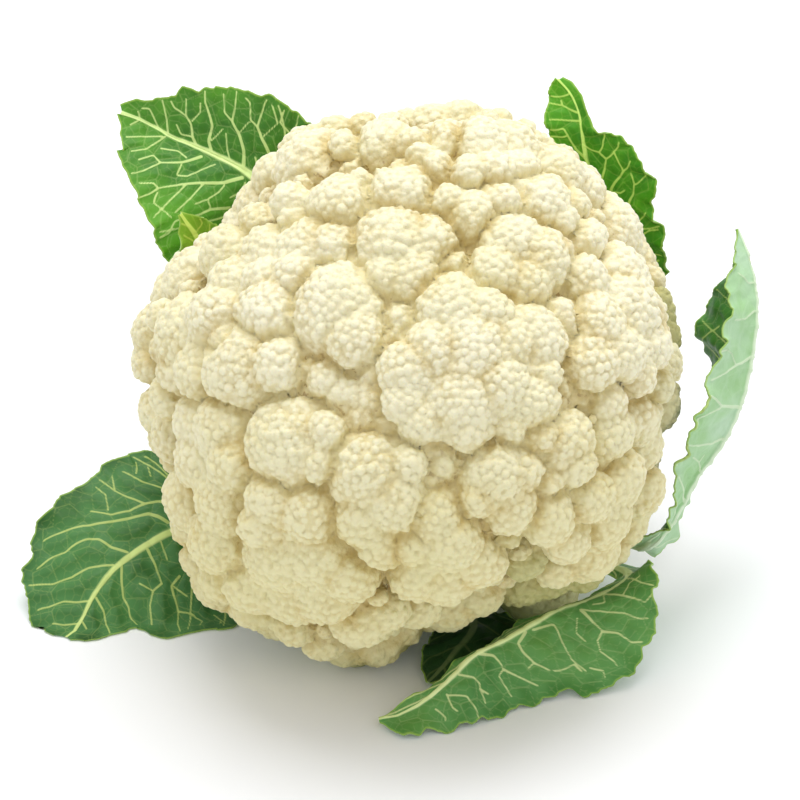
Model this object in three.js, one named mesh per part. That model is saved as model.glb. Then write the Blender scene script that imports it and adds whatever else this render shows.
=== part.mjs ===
import * as THREE from 'three';
import { ConvexHull } from 'three/addons/math/ConvexHull.js';

// A whole cauliflower: a cream head of florets on a short cut stalk, with seven leaves still on it.
// Millimetres, +Z up, +X to the right of its best side and -Y towards it.

// Driving dimensions
const HEAD_HEIGHT = 86; // centre of the head above the surface it rests on
const CENTRE_X = 10.0;
const CENTRE_Y = -5.3;
const HEAD_WAIST = 95; // radius across the head
const HEAD_RISE = 84; // radius along its axis
const HEAD_AXIS = new THREE.Vector3(0.13, -0.42, 0.9).normalize(); // stalk to crown, leaning forward
const STALK_RADIUS = 25;
const STALK_TOP = 58; // where the stalk meets the head, below the head's centre
const STALK_SIDES = 28;
const JOIN_GAP = 0.35; // left between two pieces that touch
const UNDERSIDE_SLOPE = 0.5;
const UNDERSIDE_FLAT = 28; // radius of the flat that the stalk stands on
const FLORET_REACH = THREE.MathUtils.degToRad(122); // how far the florets wrap round, from the crown
const LEAF_CLEARANCE = 5; // leaves keep this far from the head's envelope
const BLADE = 1.0; // leaf thickness
const LEAF_ROWS = 11; // besides one for each station
const PETIOLE_HALF_WIDTH = 6;
const PETIOLE_DEPTH = 6;
const ROOT_GAP = 0.8; // between a leaf's root and the stalk
const ELBOW = 9; // how far a leaf's root runs straight out
const GOLDEN_ANGLE = Math.PI * (3 - Math.sqrt(5));

// The best side is seen from 30 degrees above the surface and a metre away. Florets and leaves are
// measured square to that line of sight: right, up and near, in millimetres from the head's centre.
const SIGHT = THREE.MathUtils.degToRad(30);
const SIGHT_DISTANCE = 1000;
const RIGHT = new THREE.Vector3(1, 0, 0);
const UP = new THREE.Vector3(0, Math.sin(SIGHT), Math.cos(SIGHT));
const NEAR = new THREE.Vector3(0, -Math.cos(SIGHT), Math.sin(SIGHT));

// Radius of the head's outline seen from there, every 15 degrees, from the right and over the top
const OUTLINE = [
  89, 90, 88, 90, 92, 95, 91, 90, 90, 85, 88, 94,
  92, 90, 95, 101, 97, 97, 84, 78, 82, 90, 88, 82,
];

const LIMB_FROM = 0.55; // share of the radius, seen from there, where the outline takes over

// A point in the head's own place, from its place in the best view
function seen(right, up, near) {
  const spread = (SIGHT_DISTANCE - near) / SIGHT_DISTANCE;
  return new THREE.Vector3()
    .addScaledVector(RIGHT, right * spread)
    .addScaledVector(UP, up * spread)
    .addScaledVector(NEAR, near);
}

function randomSource(seed) {
  let state = seed;
  return () => {
    state = (state * 1664525 + 1013904223) % 4294967296;
    return state / 4294967296;
  };
}

function outlineRadius(angle) {
  const place = ((angle / (2 * Math.PI)) * OUTLINE.length + OUTLINE.length) % OUTLINE.length;
  const index = Math.floor(place);
  const part = place - index;
  const blend = part * part * (3 - 2 * part);
  return THREE.MathUtils.lerp(OUTLINE[index], OUTLINE[(index + 1) % OUTLINE.length], blend);
}

// Radius of the smooth envelope that the florets fill, in a direction from the head's centre
function envelope(direction) {
  const along = direction.dot(HEAD_AXIS);
  const across = Math.sqrt(Math.max(0, 1 - along * along));
  const plain = 1 / Math.hypot(along / HEAD_RISE, across / HEAD_WAIST);
  const right = direction.dot(RIGHT);
  const up = direction.dot(UP);
  const edge = Math.hypot(right, up);
  const limb = outlineRadius(Math.atan2(up, right));
  const weight = THREE.MathUtils.smoothstep(edge, LIMB_FROM, 1);
  return THREE.MathUtils.lerp(plain, limb, weight);
}

// Radius of the plain underside: a flat for the stalk, then a cone out to the lowest florets
function underside(direction) {
  const down = -direction.dot(HEAD_AXIS);
  const across = Math.sqrt(Math.max(0, 1 - down * down));
  if (down <= 0.05) {
    return Infinity;
  }
  const flat = STALK_TOP / down;
  const cone = (STALK_TOP + UNDERSIDE_SLOPE * UNDERSIDE_FLAT) / (down + UNDERSIDE_SLOPE * across);
  return Math.min(flat, cone);
}

// Radius that the leaves stay outside of
function leafLimit(direction) {
  const angle = direction.angleTo(HEAD_AXIS);
  const turn = THREE.MathUtils.smoothstep(angle, FLORET_REACH, FLORET_REACH + 0.5);
  const outer = envelope(direction);
  return THREE.MathUtils.lerp(outer, Math.min(outer, underside(direction)), turn) + LEAF_CLEARANCE;
}

// Florets of the side that shows: right, up, radius and how far each stands out of the envelope
const SHOWN_FLORETS = [
  [16, 6, 25, 3], [-6, 37, 14, 2], [28, 34, 14.5, 2], [-24, 20, 13, 2], [-30, 5, 6, -4],
  [-6, 56, 9, 0], [-26, 52, 10, 1], [-37, 65, 16, 1], [-51, 52, 12.5, 0], [-29, 42, 9, 0],
  [-38, 37, 10, 1], [-47, 32, 6, 0], [-61, 26, 15, 1], [-46, 20, 8, 1], [-49, 2, 14, 2],
  [-77, 24, 18, 0], [-91, 11, 12, 0], [-34, 79, 12, 0], [-21, 81, 8, 0], [-11, 71, 12.5, 1],
  [-2, 82, 10, 0], [17, 85, 17, 0], [6, 79, 7, 0], [22, 70, 13, 1], [38, 77, 10, 0],
  [47, 69, 13, 0], [9, 55, 6, 0], [25, 54, 6, 0], [15, 47, 7, 0], [39, 51, 10, 1],
  [42, 20, 7, -2], [59, 16, 18, 1], [54, 4, 8, 1], [65, 5, 7, 1], [53, 35, 7, 1],
  [67, 46, 14, 1], [65, 35, 7, 1], [53, 48, 8, 0], [83, 13, 15, -1], [77, -4, 13, -1],
  [-34, -17, 11, -2], [-12, -35, 15, 2], [-21, -7, 12, -6], [-38, -25, 6, 1], [-42, -34, 6, 1],
  [-32, -33, 6, 1], [-44, -47, 22, 2], [-71, -30, 15, 0], [-84, -14, 12, 0], [-71, -19, 10, 0],
  [-74, -45, 10, 0], [-68, -63, 12, 0], [-50, -74, 11, 0], [-23, -62, 14, 0], [9, -58, 18, 2],
  [4, -25, 8, -5], [7, -39, 7, -4], [22, -33, 13, 1], [42, -20, 9, 0], [61, -34, 21, 1],
  [47, -34, 6, 2], [37, -46, 9, 0], [47, -56, 8, 0], [56, -55, 7, 0], [76, -30, 8, 0],
  [26, -50, 6, -3], [32, -62, 7, -4], [48, -66, 10, -2], [44, -4, 7, -5], [66, -53, 7, 0],
  [-38, -80, 11, 0], [-4, -77, 10, 0], [-58, -70, 10, 0],
];

// The two lowest florets, flat where the head rests on them beside its stalk
const RESTING_FLORETS = [
  { centre: new THREE.Vector3(-19, -34, -67), radius: 21, top: true },
  { centre: new THREE.Vector3(40, -8, -71), radius: 17, top: true },
];
const FOOT_RADIUS = 6.5; // of the flat under each of those two
const FOOT_CORNERS = 5;
const HIDDEN_FLORETS = 74; // spread over the whole head, kept only on its far side
const HIDDEN_RADIUS = [12, 18];
const HIDDEN_LIFT = 1.5; // most that one stands out of the envelope or sinks into it
const HIDDEN_SPACING = 0.75; // from other florets, over its radius
const TOP_SPACING = 0.113; // least angle between two tops, seen from the head's centre
const BUD_SPREAD = 1.35; // how far round a floret its buds stand
const SHOULDER = 0.58; // place of a bud's shoulder between its top and the dip beside it
const FLORET_CORE = 0.92; // radius of a floret under its buds, as a share of its full radius
const LEAST_BRANCHING = 8.5; // a floret of a smaller radius is a single bud
const BUD_SHARE = 0.4; // radius of a bud over its floret's
const BUD_RADIUS = [5, 7.6];
const BUD_CROWDING = 1.7;
const FILL_BUDS = 700; // small buds that fill the dips between florets
const FILL_RADIUS = 6.5;
const CORE_DEPTH = 10; // plain core below the envelope
const LEAF_ROOM = 1.5; // left between the head and the limit of the leaves
const COVERED = 1.2; // a top this far under another bud is left out
const UNDERSIDE_RINGS = [[2.36, 20, 0], [2.6, 14, 0.5], [2.82, 8, 0.5]]; // angle, points, start
const OFF_CENTRE = 0.2; // keeps a dip near the middle of its three tops

function shownFloret([right, up, radius, lift]) {
  const centre = new THREE.Vector3();
  const rounds = 9;
  let near = HEAD_WAIST / 2;
  let reach = 0;
  for (let round = 0; round < rounds; round += 1) {
    centre.copy(RIGHT).multiplyScalar(right).addScaledVector(UP, up).addScaledVector(NEAR, near);
    reach = envelope(centre.clone().normalize()) + lift - radius;
    near = Math.sqrt(Math.max(0, reach * reach - right * right - up * up));
  }
  return { centre: centre.setLength(reach), radius };
}

function spiralDirection(index, count, axis, reach, turn) {
  const height = 1 - ((index + 0.5) / count) * (1 - Math.cos(reach));
  const across = Math.sqrt(Math.max(0, 1 - height * height));
  const angle = index * GOLDEN_ANGLE + turn;
  const side = new THREE.Vector3(0, 0, 1).cross(axis);
  if (side.length() < 0.1) {
    side.set(1, 0, 0);
  }
  side.normalize();
  const other = axis.clone().cross(side);
  return axis
    .clone()
    .multiplyScalar(height)
    .addScaledVector(side, across * Math.cos(angle))
    .addScaledVector(other, across * Math.sin(angle));
}

function makeFlorets() {
  const random = randomSource(41);
  const florets = SHOWN_FLORETS.map(shownFloret);
  for (let index = 0; index < HIDDEN_FLORETS; index += 1) {
    const direction = spiralDirection(index, HIDDEN_FLORETS, HEAD_AXIS, FLORET_REACH, 0.7);
    const radius = THREE.MathUtils.lerp(...HIDDEN_RADIUS, random());
    const lift = HIDDEN_LIFT * (2 * random() - 1);
    const centre = direction.clone().multiplyScalar(envelope(direction) + lift - radius);
    const taken = florets
      .concat(RESTING_FLORETS)
      .some((other) => centre.distanceTo(other.centre) < HIDDEN_SPACING * radius);
    if (direction.dot(NEAR) < 0.05 && !taken) {
      florets.push({ centre, radius });
    }
  }
  return florets;
}

function reachOfBall(direction, ball) {
  const along = direction.dot(ball.centre);
  const root = along * along - ball.centre.lengthSq() + ball.radius * ball.radius;
  return root < 0 ? 0 : along + Math.sqrt(root);
}

// Buds stand on each large floret and fill the dips between florets
function makeBuds(florets) {
  const buds = [];
  for (const floret of florets) {
    if (floret.radius < LEAST_BRANCHING) {
      buds.push({ centre: floret.centre, radius: floret.radius, top: true });
      continue;
    }
    buds.push({ centre: floret.centre, radius: floret.radius * FLORET_CORE, top: false });
    const size = THREE.MathUtils.clamp(floret.radius * BUD_SHARE, ...BUD_RADIUS);
    const count = Math.round(BUD_CROWDING * (floret.radius / size) ** 2);
    const axis = floret.centre.clone().normalize();
    for (let index = 0; index < count; index += 1) {
      const direction = spiralDirection(index, count, axis, BUD_SPREAD, floret.centre.x);
      const centre = floret.centre.clone().addScaledVector(direction, floret.radius - size);
      buds.push({ centre, radius: size, top: true });
    }
  }
  for (let index = 0; index < FILL_BUDS; index += 1) {
    const direction = spiralDirection(index, FILL_BUDS, HEAD_AXIS, FLORET_REACH, 0);
    const centre = direction.clone().multiplyScalar(envelope(direction) - 2 * FILL_RADIUS);
    buds.push({ centre, radius: FILL_RADIUS, top: true });
  }
  return buds;
}

// Radius of the finished head in a direction: the outermost bud, or the core under it
function headRadius(direction, buds) {
  let radius = Math.min(envelope(direction) - CORE_DEPTH, underside(direction));
  for (const bud of buds) {
    radius = Math.max(radius, reachOfBall(direction, bud));
  }
  radius = Math.min(radius, leafLimit(direction) - LEAF_ROOM);
  for (const floret of RESTING_FLORETS) {
    radius = Math.max(radius, reachOfBall(direction, floret));
  }
  if (direction.z < 0) {
    radius = Math.min(radius, -HEAD_HEIGHT / direction.z);
  }
  return radius;
}

// Directions of the corners and the middle of the flat that a resting floret stands on
function footDirections({ centre }) {
  const corners = [new THREE.Vector3(centre.x, centre.y, -HEAD_HEIGHT)];
  for (let corner = 0; corner < FOOT_CORNERS; corner += 1) {
    const turn = (corner * 2 * Math.PI) / FOOT_CORNERS;
    const side = new THREE.Vector3(Math.cos(turn), Math.sin(turn), 0);
    corners.push(corners[0].clone().addScaledVector(side, FOOT_RADIUS));
  }
  return corners.map((corner) => corner.normalize());
}

// Directions of the buds' tops, without those that a neighbour covers, and of the underside
function headTops(buds) {
  const tops = RESTING_FLORETS.flatMap(footDirections);
  const sorted = buds.filter((bud) => bud.top).map((bud) => {
    const direction = bud.centre.clone().normalize();
    return { direction, reach: reachOfBall(direction, bud) };
  });
  sorted.sort((a, b) => b.reach - envelope(b.direction) - (a.reach - envelope(a.direction)));
  for (const { direction, reach } of sorted) {
    const covered = headRadius(direction, buds) - reach > COVERED;
    const crowded = tops.some((other) => other.angleTo(direction) < TOP_SPACING);
    if (!covered && !crowded) {
      tops.push(direction);
    }
  }
  for (const [angle, count, start] of UNDERSIDE_RINGS) {
    for (let index = 0; index < count; index += 1) {
      const direction = ringDirection(angle, ((index + start) * 2 * Math.PI) / count);
      if (!tops.some((other) => other.angleTo(direction) < TOP_SPACING)) {
        tops.push(direction);
      }
    }
  }
  tops.push(HEAD_AXIS.clone().negate());
  return tops;
}

const HEAD_SIDE = RIGHT.clone().addScaledVector(HEAD_AXIS, -RIGHT.dot(HEAD_AXIS)).normalize();
const HEAD_BACK = HEAD_AXIS.clone().cross(HEAD_SIDE);

// A direction at an angle from the crown and a turn round the head's axis, from the right to the back
function ringDirection(angle, turn) {
  return HEAD_AXIS.clone()
    .multiplyScalar(Math.cos(angle))
    .addScaledVector(HEAD_SIDE, Math.sin(angle) * Math.cos(turn))
    .addScaledVector(HEAD_BACK, Math.sin(angle) * Math.sin(turn));
}

// One closed surface: a top for each bud, shoulders round it, and the lowest point of each dip
function curdGeometry() {
  const buds = makeBuds(makeFlorets());
  const tops = headTops(buds);
  const hull = new ConvexHull().setFromPoints(tops);
  const index = new Map(tops.map((top, place) => [top, place]));
  const points = [];
  const addPoint = (direction) => {
    points.push(direction.clone().multiplyScalar(headRadius(direction, buds)));
    return points.length - 1;
  };
  tops.forEach(addPoint);

  const dips = new Map();
  const shoulders = new Map();
  for (const face of hull.faces) {
    const corners = [];
    let edge = face.edge;
    do {
      corners.push(index.get(edge.head().point));
      edge = edge.next;
    } while (edge !== face.edge);
    const dip = lowestDirection(corners.map((corner) => tops[corner]), buds);
    const dipPlace = addPoint(dip);
    corners.forEach((corner, place) => {
      const next = corners[(place + 1) % corners.length];
      dips.set(`${corner},${next}`, dipPlace);
      const shoulder = tops[corner].clone().lerp(dip, SHOULDER).normalize();
      shoulders.set(`${corner},${dipPlace}`, addPoint(shoulder));
    });
  }

  const triangles = [];
  for (const [key, dip] of dips) {
    const [corner, next] = key.split(',').map(Number);
    const otherDip = dips.get(`${next},${corner}`);
    const shoulder = shoulders.get(`${corner},${dip}`);
    const otherShoulder = shoulders.get(`${corner},${otherDip}`);
    triangles.push(corner, otherShoulder, shoulder);
    triangles.push(otherShoulder, otherDip, dip);
    triangles.push(otherShoulder, dip, shoulder);
  }
  return closedGeometry(points, triangles);
}

function lowestDirection(corners, buds) {
  const steps = 7;
  let best = null;
  let lowest = Infinity;
  for (let i = 1; i < steps - 1; i += 1) {
    for (let j = 1; i + j < steps; j += 1) {
      const k = steps - i - j;
      const direction = new THREE.Vector3()
        .addScaledVector(corners[0], i)
        .addScaledVector(corners[1], j)
        .addScaledVector(corners[2], k)
        .normalize();
      const radius = headRadius(direction, buds);
      const offCentre = Math.abs(i - j) + Math.abs(j - k) + Math.abs(i - k);
      if (radius + OFF_CENTRE * offCentre < lowest) {
        lowest = radius + OFF_CENTRE * offCentre;
        best = direction;
      }
    }
  }
  return best;
}

function closedGeometry(points, triangles) {
  const geometry = new THREE.BufferGeometry();
  const positions = points.flatMap((point) => [point.x, point.y, point.z]);
  geometry.setAttribute('position', new THREE.Float32BufferAttribute(positions, 3));
  geometry.setIndex(triangles);
  geometry.computeVertexNormals();
  return geometry;
}

// The stalk: square to the head at the top, trimmed level with the surface below
function stalkGeometry() {
  const points = [];
  const triangles = [];
  const rings = [
    [STALK_RADIUS, STALK_TOP + JOIN_GAP],
    [STALK_RADIUS * 0.95, STALK_TOP + 14],
    [STALK_RADIUS * 0.98, null],
  ];
  for (const [radius, depth] of rings) {
    for (let side = 0; side < STALK_SIDES; side += 1) {
      const turn = (side * 2 * Math.PI) / STALK_SIDES;
      const point = HEAD_SIDE.clone()
        .multiplyScalar(radius * Math.cos(turn))
        .addScaledVector(HEAD_BACK, radius * Math.sin(turn));
      const fall = depth ?? (point.z + HEAD_HEIGHT) / HEAD_AXIS.z;
      points.push(point.addScaledVector(HEAD_AXIS, -fall));
    }
  }
  const top = points.push(HEAD_AXIS.clone().multiplyScalar(-STALK_TOP - JOIN_GAP)) - 1;
  const foot = points.push(HEAD_AXIS.clone().multiplyScalar(-HEAD_HEIGHT / HEAD_AXIS.z)) - 1;
  for (let side = 0; side < STALK_SIDES; side += 1) {
    const next = (side + 1) % STALK_SIDES;
    for (let ring = 0; ring < rings.length - 1; ring += 1) {
      const upper = ring * STALK_SIDES;
      const lower = upper + STALK_SIDES;
      triangles.push(upper + side, lower + side, lower + next);
      triangles.push(upper + side, lower + next, upper + next);
    }
    const last = (rings.length - 1) * STALK_SIDES;
    triangles.push(top, side, next);
    triangles.push(foot, last + next, last + side);
  }
  return closedGeometry(points, triangles);
}

// Leaves. Each starts on the stalk at a turn round it and a depth down it, follows the head's
// underside, and then runs through stations of three points, as right, up and near: midrib,
// left margin and right margin, looking at its upper face with the tip up.
const LEAVES = [
  {
    name: 'leaf_back_left',
    color: 0x5f9a3c,
    turn: 122,
    depth: 66,
    stations: [
      [[-34, 2, -94], [-42, -2, -92], [-27, 4, -95]],
      [[-40, 26, -88], [-60, 14, -80], [-21, 38, -90]],
      [[-46, 50, -74], [-76, 33, -60], [-26, 72, -62]],
      [[-53, 67, -58], [-85, 46, -51], [-44, 92, -50]],
      [[-68, 76, -60], [-92, 62, -52], [-66, 96, -55]],
      [[-80, 81, -62], [-96, 72, -55], [-80, 95, -58]],
      [[-91, 87, -63], [-97.5, 82, -60], [-90, 93, -60]],
      [[-98, 89.5, -62], [-98.5, 88.5, -62], [-97, 91, -62]],
    ],
    wave: 2.2,
    waves: 4,
  },
  {
    name: 'leaf_small_left',
    color: 0x8fae4a,
    turn: 153,
    depth: 64,
    stations: [
      [[-62, 30, -66], [-67, 26, -62], [-57, 34, -69]],
      [[-71, 44, -47], [-80, 40, -40], [-64, 50, -50]],
      [[-74, 49.5, -42], [-78.5, 47, -39], [-68.5, 53, -44]],
      [[-76.5, 53, -40], [-78.5, 51, -39], [-72.5, 55, -41]],
      [[-78.5, 56, -39], [-79, 55.4, -39], [-78, 56.4, -39]],
    ],
    wave: 0.8,
    waves: 4,
    petiole: 3.6,
  },
  {
    name: 'leaf_back_right',
    color: 0x3f7f2c,
    turn: 60,
    depth: 66,
    stations: [
      [[36, 0, -94], [26, 4, -96], [48, -5, -90]],
      [[45, 22, -90], [29, 26, -96], [66, 16, -76]],
      [[55, 48, -72], [38, 55, -74], [80, 34, -54]],
      [[59, 62, -56], [42, 70, -58], [80.5, 48, -44]],
      [[57, 70, -51], [42, 76, -50], [76, 57, -43]],
      [[55.5, 75, -49], [42, 80, -47], [77.5, 64, -41]],
      [[54.5, 80, -47], [42.5, 84, -46], [66, 81, -41]],
      [[54, 84, -46], [42, 88, -46], [57, 83, -43]],
      [[53, 90, -46], [42, 93, -47], [56, 89, -44]],
      [[50, 96, -46], [43.5, 98, -47], [53, 96, -45]],
      [[46, 100.5, -46], [45, 100.5, -46], [47.2, 100, -46]],
    ],
    wave: 1.4,
    waves: 5,
  },
  {
    name: 'leaf_right',
    color: 0x9dc492,
    turn: 14,
    depth: 64,
    stations: [
      [[76, -53, -26], [78, -57, -34], [73, -48, -18]],
      [[84, -44, -18], [85, -46, -34], [78, -42, -4]],
      [[92, -30, -12], [90, -26, -40], [82.5, -31, 4]],
      [[99, -21, -11], [95, -12, -46], [82.5, -22, 8]],
      [[106, -7, -12], [97, 2, -50], [88, -8, 8]],
      [[110, 10, -14], [92, 17, -50], [96, 6, 4]],
      [[111.5, 26, -16], [95, 28, -43], [101, 22, -2]],
      [[109, 41, -18], [104, 40, -28], [102, 36, -10]],
      [[105, 51, -20], [104.6, 50.2, -21], [104, 50, -19]],
    ],
    wave: 1.6,
    waves: 5,
  },
  {
    name: 'leaf_front',
    color: 0x4f8f3a,
    turn: -22,
    depth: 74,
    stations: [
      [[44, -55, -50], [47, -53, -53], [41, -57, -47]],
      [[68, -62, -32], [72, -60.5, -34], [64, -63.5, -30]],
      [[68, -66, -16], [76, -59, -6], [63, -65, -19]],
      [[57, -70, -8], [78, -70, 0], [49, -69.5, -11]],
      [[46, -75, -3], [74, -87, 2], [36, -75, -8]],
      [[37.6, -79.5, 3], [60, -101, 6], [27, -82, 0]],
      [[28, -85, 9], [45, -101.5, 8], [21, -87, 7]],
      [[18, -90, 14], [32, -106.5, 13], [13, -91, 11]],
      [[11, -97, 17], [18, -111.5, 21], [7, -97, 15]],
      [[2, -105, 20], [6, -113.5, 24], [-1, -102, 18]],
      [[-7, -110, 21], [-5, -115.5, 27], [-8, -107, 19]],
      [[-13.5, -111, 22], [-13, -112, 22.4], [-13, -110.2, 21.6]],
    ],
    wave: 1.0,
    waves: 6,
  },
  {
    name: 'leaf_under',
    color: 0x2f5f24,
    turn: -70,
    depth: 73,
    stations: [
      [[14, -72, -32], [20, -72, -30], [8, -72, -34]],
      [[18, -81, -15], [36, -82, -12], [6, -79, -18]],
      [[12, -89, -6], [28, -90, -4], [2, -86, -10]],
      [[7, -95, 0], [16, -96, 1], [1, -93, -3]],
      [[3, -99, 4], [4, -99, 4], [2.4, -98.4, 3.6]],
    ],
    wave: 0.5,
    waves: 3,
    petiole: 4.5,
  },
  {
    name: 'leaf_left',
    color: 0x3f7d3a,
    turn: 190,
    depth: 68,
    stations: [
      [[-58, -44, -54], [-52, -60, -46], [-64, -34, -60]],
      [[-70, -46, -50], [-60, -84, -31], [-86, -22, -61]],
      [[-81.5, -49, -45], [-71, -85.5, -29], [-97, -24, -58]],
      [[-93.5, -56, -40], [-83, -87.5, -25], [-110, -33, -53]],
      [[-101, -62, -36], [-92, -83.5, -30], [-121, -41, -47]],
      [[-107, -70, -32], [-101, -87, -26], [-126, -54, -41]],
      [[-111, -78, -28], [-107, -88, -24], [-129.5, -67, -36]],
      [[-114, -83, -26], [-111, -88, -24], [-126, -78, -30]],
      [[-116, -87, -25], [-114, -88.5, -24], [-119, -85.5, -26]],
    ],
    wave: 1.8,
    waves: 4,
  },
];

const COLUMNS = [-1, -0.72, -0.42, -0.14, 0, 0.14, 0.42, 0.72, 1];

function pushedClear(point, extra) {
  const direction = point.clone().normalize();
  const limit = leafLimit(direction) + extra;
  return point.length() < limit ? direction.multiplyScalar(limit) : point;
}

function leafStart(leaf) {
  const turn = THREE.MathUtils.degToRad(leaf.turn);
  const outward = HEAD_SIDE.clone()
    .multiplyScalar(Math.cos(turn))
    .addScaledVector(HEAD_BACK, Math.sin(turn));
  const root = HEAD_AXIS.clone()
    .multiplyScalar(-leaf.depth)
    .addScaledVector(outward, STALK_RADIUS + ROOT_GAP);
  return { root, outward };
}

// The hidden stretch from the stalk to the first station, close round the underside
function petioleStations(leaf) {
  const { root, outward } = leafStart(leaf);
  const halfWidth = leaf.petiole ?? PETIOLE_HALF_WIDTH;
  const first = seen(...leaf.stations[0][0]);
  const elbow = root.clone().addScaledVector(outward, ELBOW);
  const path = [root, elbow];
  const steps = 3;
  for (let step = 1; step < steps; step += 1) {
    const part = step / steps;
    const between = elbow.clone().normalize().lerp(first.clone().normalize(), part).normalize();
    const reach = THREE.MathUtils.lerp(elbow.length(), first.length(), part);
    path.push(pushedClear(between.multiplyScalar(reach), PETIOLE_DEPTH / 2));
  }
  return path.map((point, place) => {
    const ahead = (path[place + 1] ?? first).clone();
    const heading = ahead.sub(place === 0 ? root : path[place - 1]).normalize();
    const radial = place === 0 ? HEAD_AXIS.clone().negate() : point.clone().normalize();
    const side = radial.cross(heading).normalize();
    const width = place < path.length - 1 ? halfWidth : halfWidth * 1.3;
    return [
      point,
      point.clone().addScaledVector(side, -width),
      point.clone().addScaledVector(side, width),
    ];
  });
}

function leafGeometry(leaf) {
  const hidden = petioleStations(leaf);
  const shown = leaf.stations.map((station) => station.map((point) => seen(...point)));
  const stations = hidden.concat(shown);
  const rails = [0, 1, 2].map((rail) => {
    const points = stations.map((station, place) =>
      place < 2 ? station[rail] : pushedClear(station[rail], 0.5),
    );
    return new THREE.CatmullRomCurve3(points, false, 'centripetal');
  });
  const rows = LEAF_ROWS + leaf.stations.length;
  const bladeFrom = hidden.length / (stations.length - 1);

  const middle = [];
  for (let row = 0; row <= rows; row += 1) {
    const along = row / rows;
    const [rib, left, right] = rails.map((rail) => rail.getPoint(along));
    const open = THREE.MathUtils.smoothstep(along, bladeFrom * 0.8, bladeFrom);
    const line = COLUMNS.map((column) => {
      const margin = column < 0 ? left : right;
      const point = rib.clone().lerp(margin, Math.abs(column));
      const swell = Math.sin(along * leaf.waves * 2 * Math.PI + (column < 0 ? 0 : 2));
      const outward = point.clone().normalize();
      point.addScaledVector(outward, open * leaf.wave * column * column * (1 + swell) * 0.5);
      return point;
    });
    middle.push(line);
  }

  const sides = [[], []];
  middle.forEach((line, row) => {
    const along = row / rows;
    const ribDepth = THREE.MathUtils.lerp(PETIOLE_DEPTH, 0.6, Math.sqrt(along));
    line.forEach((point, column) => {
      const before = middle[Math.max(0, row - 1)][column];
      const after = middle[Math.min(rows, row + 1)][column];
      const toLeft = line[Math.max(0, column - 1)];
      const toRight = line[Math.min(line.length - 1, column + 1)];
      const across = toRight.clone().sub(toLeft);
      const normal = across.cross(after.clone().sub(before)).normalize();
      const place = COLUMNS[column];
      const petiole = 1 - THREE.MathUtils.smoothstep(along, bladeFrom * 0.7, bladeFrom);
      const rib = Math.max(0, 1 - Math.abs(place) / 0.35);
      const round = petiole * Math.sqrt(Math.max(0, 1 - place * place));
      const below = BLADE / 2 + ribDepth * Math.max(rib * (1 - petiole), round) * 0.8;
      const above = BLADE / 2 + ribDepth * round * 0.2;
      sides[0].push(point.clone().addScaledVector(normal, above));
      sides[1].push(point.clone().addScaledVector(normal, -below));
    });
  });
  restOnSurface(sides);
  return slabGeometry(sides, rows + 1, COLUMNS.length);
}

// A leaf that reaches the surface lies on it
function restOnSurface([upper, lower]) {
  lower.forEach((point, place) => {
    point.z = Math.max(point.z, -HEAD_HEIGHT);
    upper[place].z = Math.max(upper[place].z, -HEAD_HEIGHT + BLADE);
  });
}

function slabGeometry([upper, lower], rows, columns) {
  const points = upper.concat(lower);
  const under = upper.length;
  const triangles = [];
  const quad = (a, b, c, d) => triangles.push(a, b, c, a, c, d);
  for (let row = 0; row < rows - 1; row += 1) {
    for (let column = 0; column < columns - 1; column += 1) {
      const a = row * columns + column;
      const b = a + 1;
      const c = b + columns;
      const d = a + columns;
      if (column < columns / 2 - 1) {
        quad(a, b, c, d);
        triangles.push(under + a, under + c, under + b, under + a, under + d, under + c);
      } else {
        quad(b, c, d, a);
        triangles.push(under + b, under + d, under + c, under + b, under + a, under + d);
      }
    }
    const left = row * columns;
    const right = left + columns - 1;
    quad(left + columns, under + left + columns, under + left, left);
    quad(right, under + right, under + right + columns, right + columns);
  }
  const last = (rows - 1) * columns;
  for (let column = 0; column < columns - 1; column += 1) {
    quad(column, under + column, under + column + 1, column + 1);
    quad(last + column + 1, under + last + column + 1, under + last + column, last + column);
  }
  return closedGeometry(points, triangles);
}

function finish(color, roughness) {
  return new THREE.MeshStandardMaterial({ color, roughness, metalness: 0, flatShading: true });
}

function piece(name, geometry, material) {
  const mesh = new THREE.Mesh(geometry, material);
  mesh.name = name;
  return mesh;
}

const cauliflower = new THREE.Group();
cauliflower.position.set(CENTRE_X, CENTRE_Y, HEAD_HEIGHT);
cauliflower.add(piece('curd', curdGeometry(), finish(0xe9e2c6, 0.75)));
cauliflower.add(piece('stalk', stalkGeometry(), finish(0xd9ddb0, 0.6)));
for (const leaf of LEAVES) {
  cauliflower.add(piece(leaf.name, leafGeometry(leaf), finish(leaf.color, 0.55)));
}

export default cauliflower;
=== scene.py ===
"""A whole cauliflower: cream curd, cut stalk and seven leaves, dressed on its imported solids."""

import math

from itertools import combinations

import bpy
import numpy as np

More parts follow.
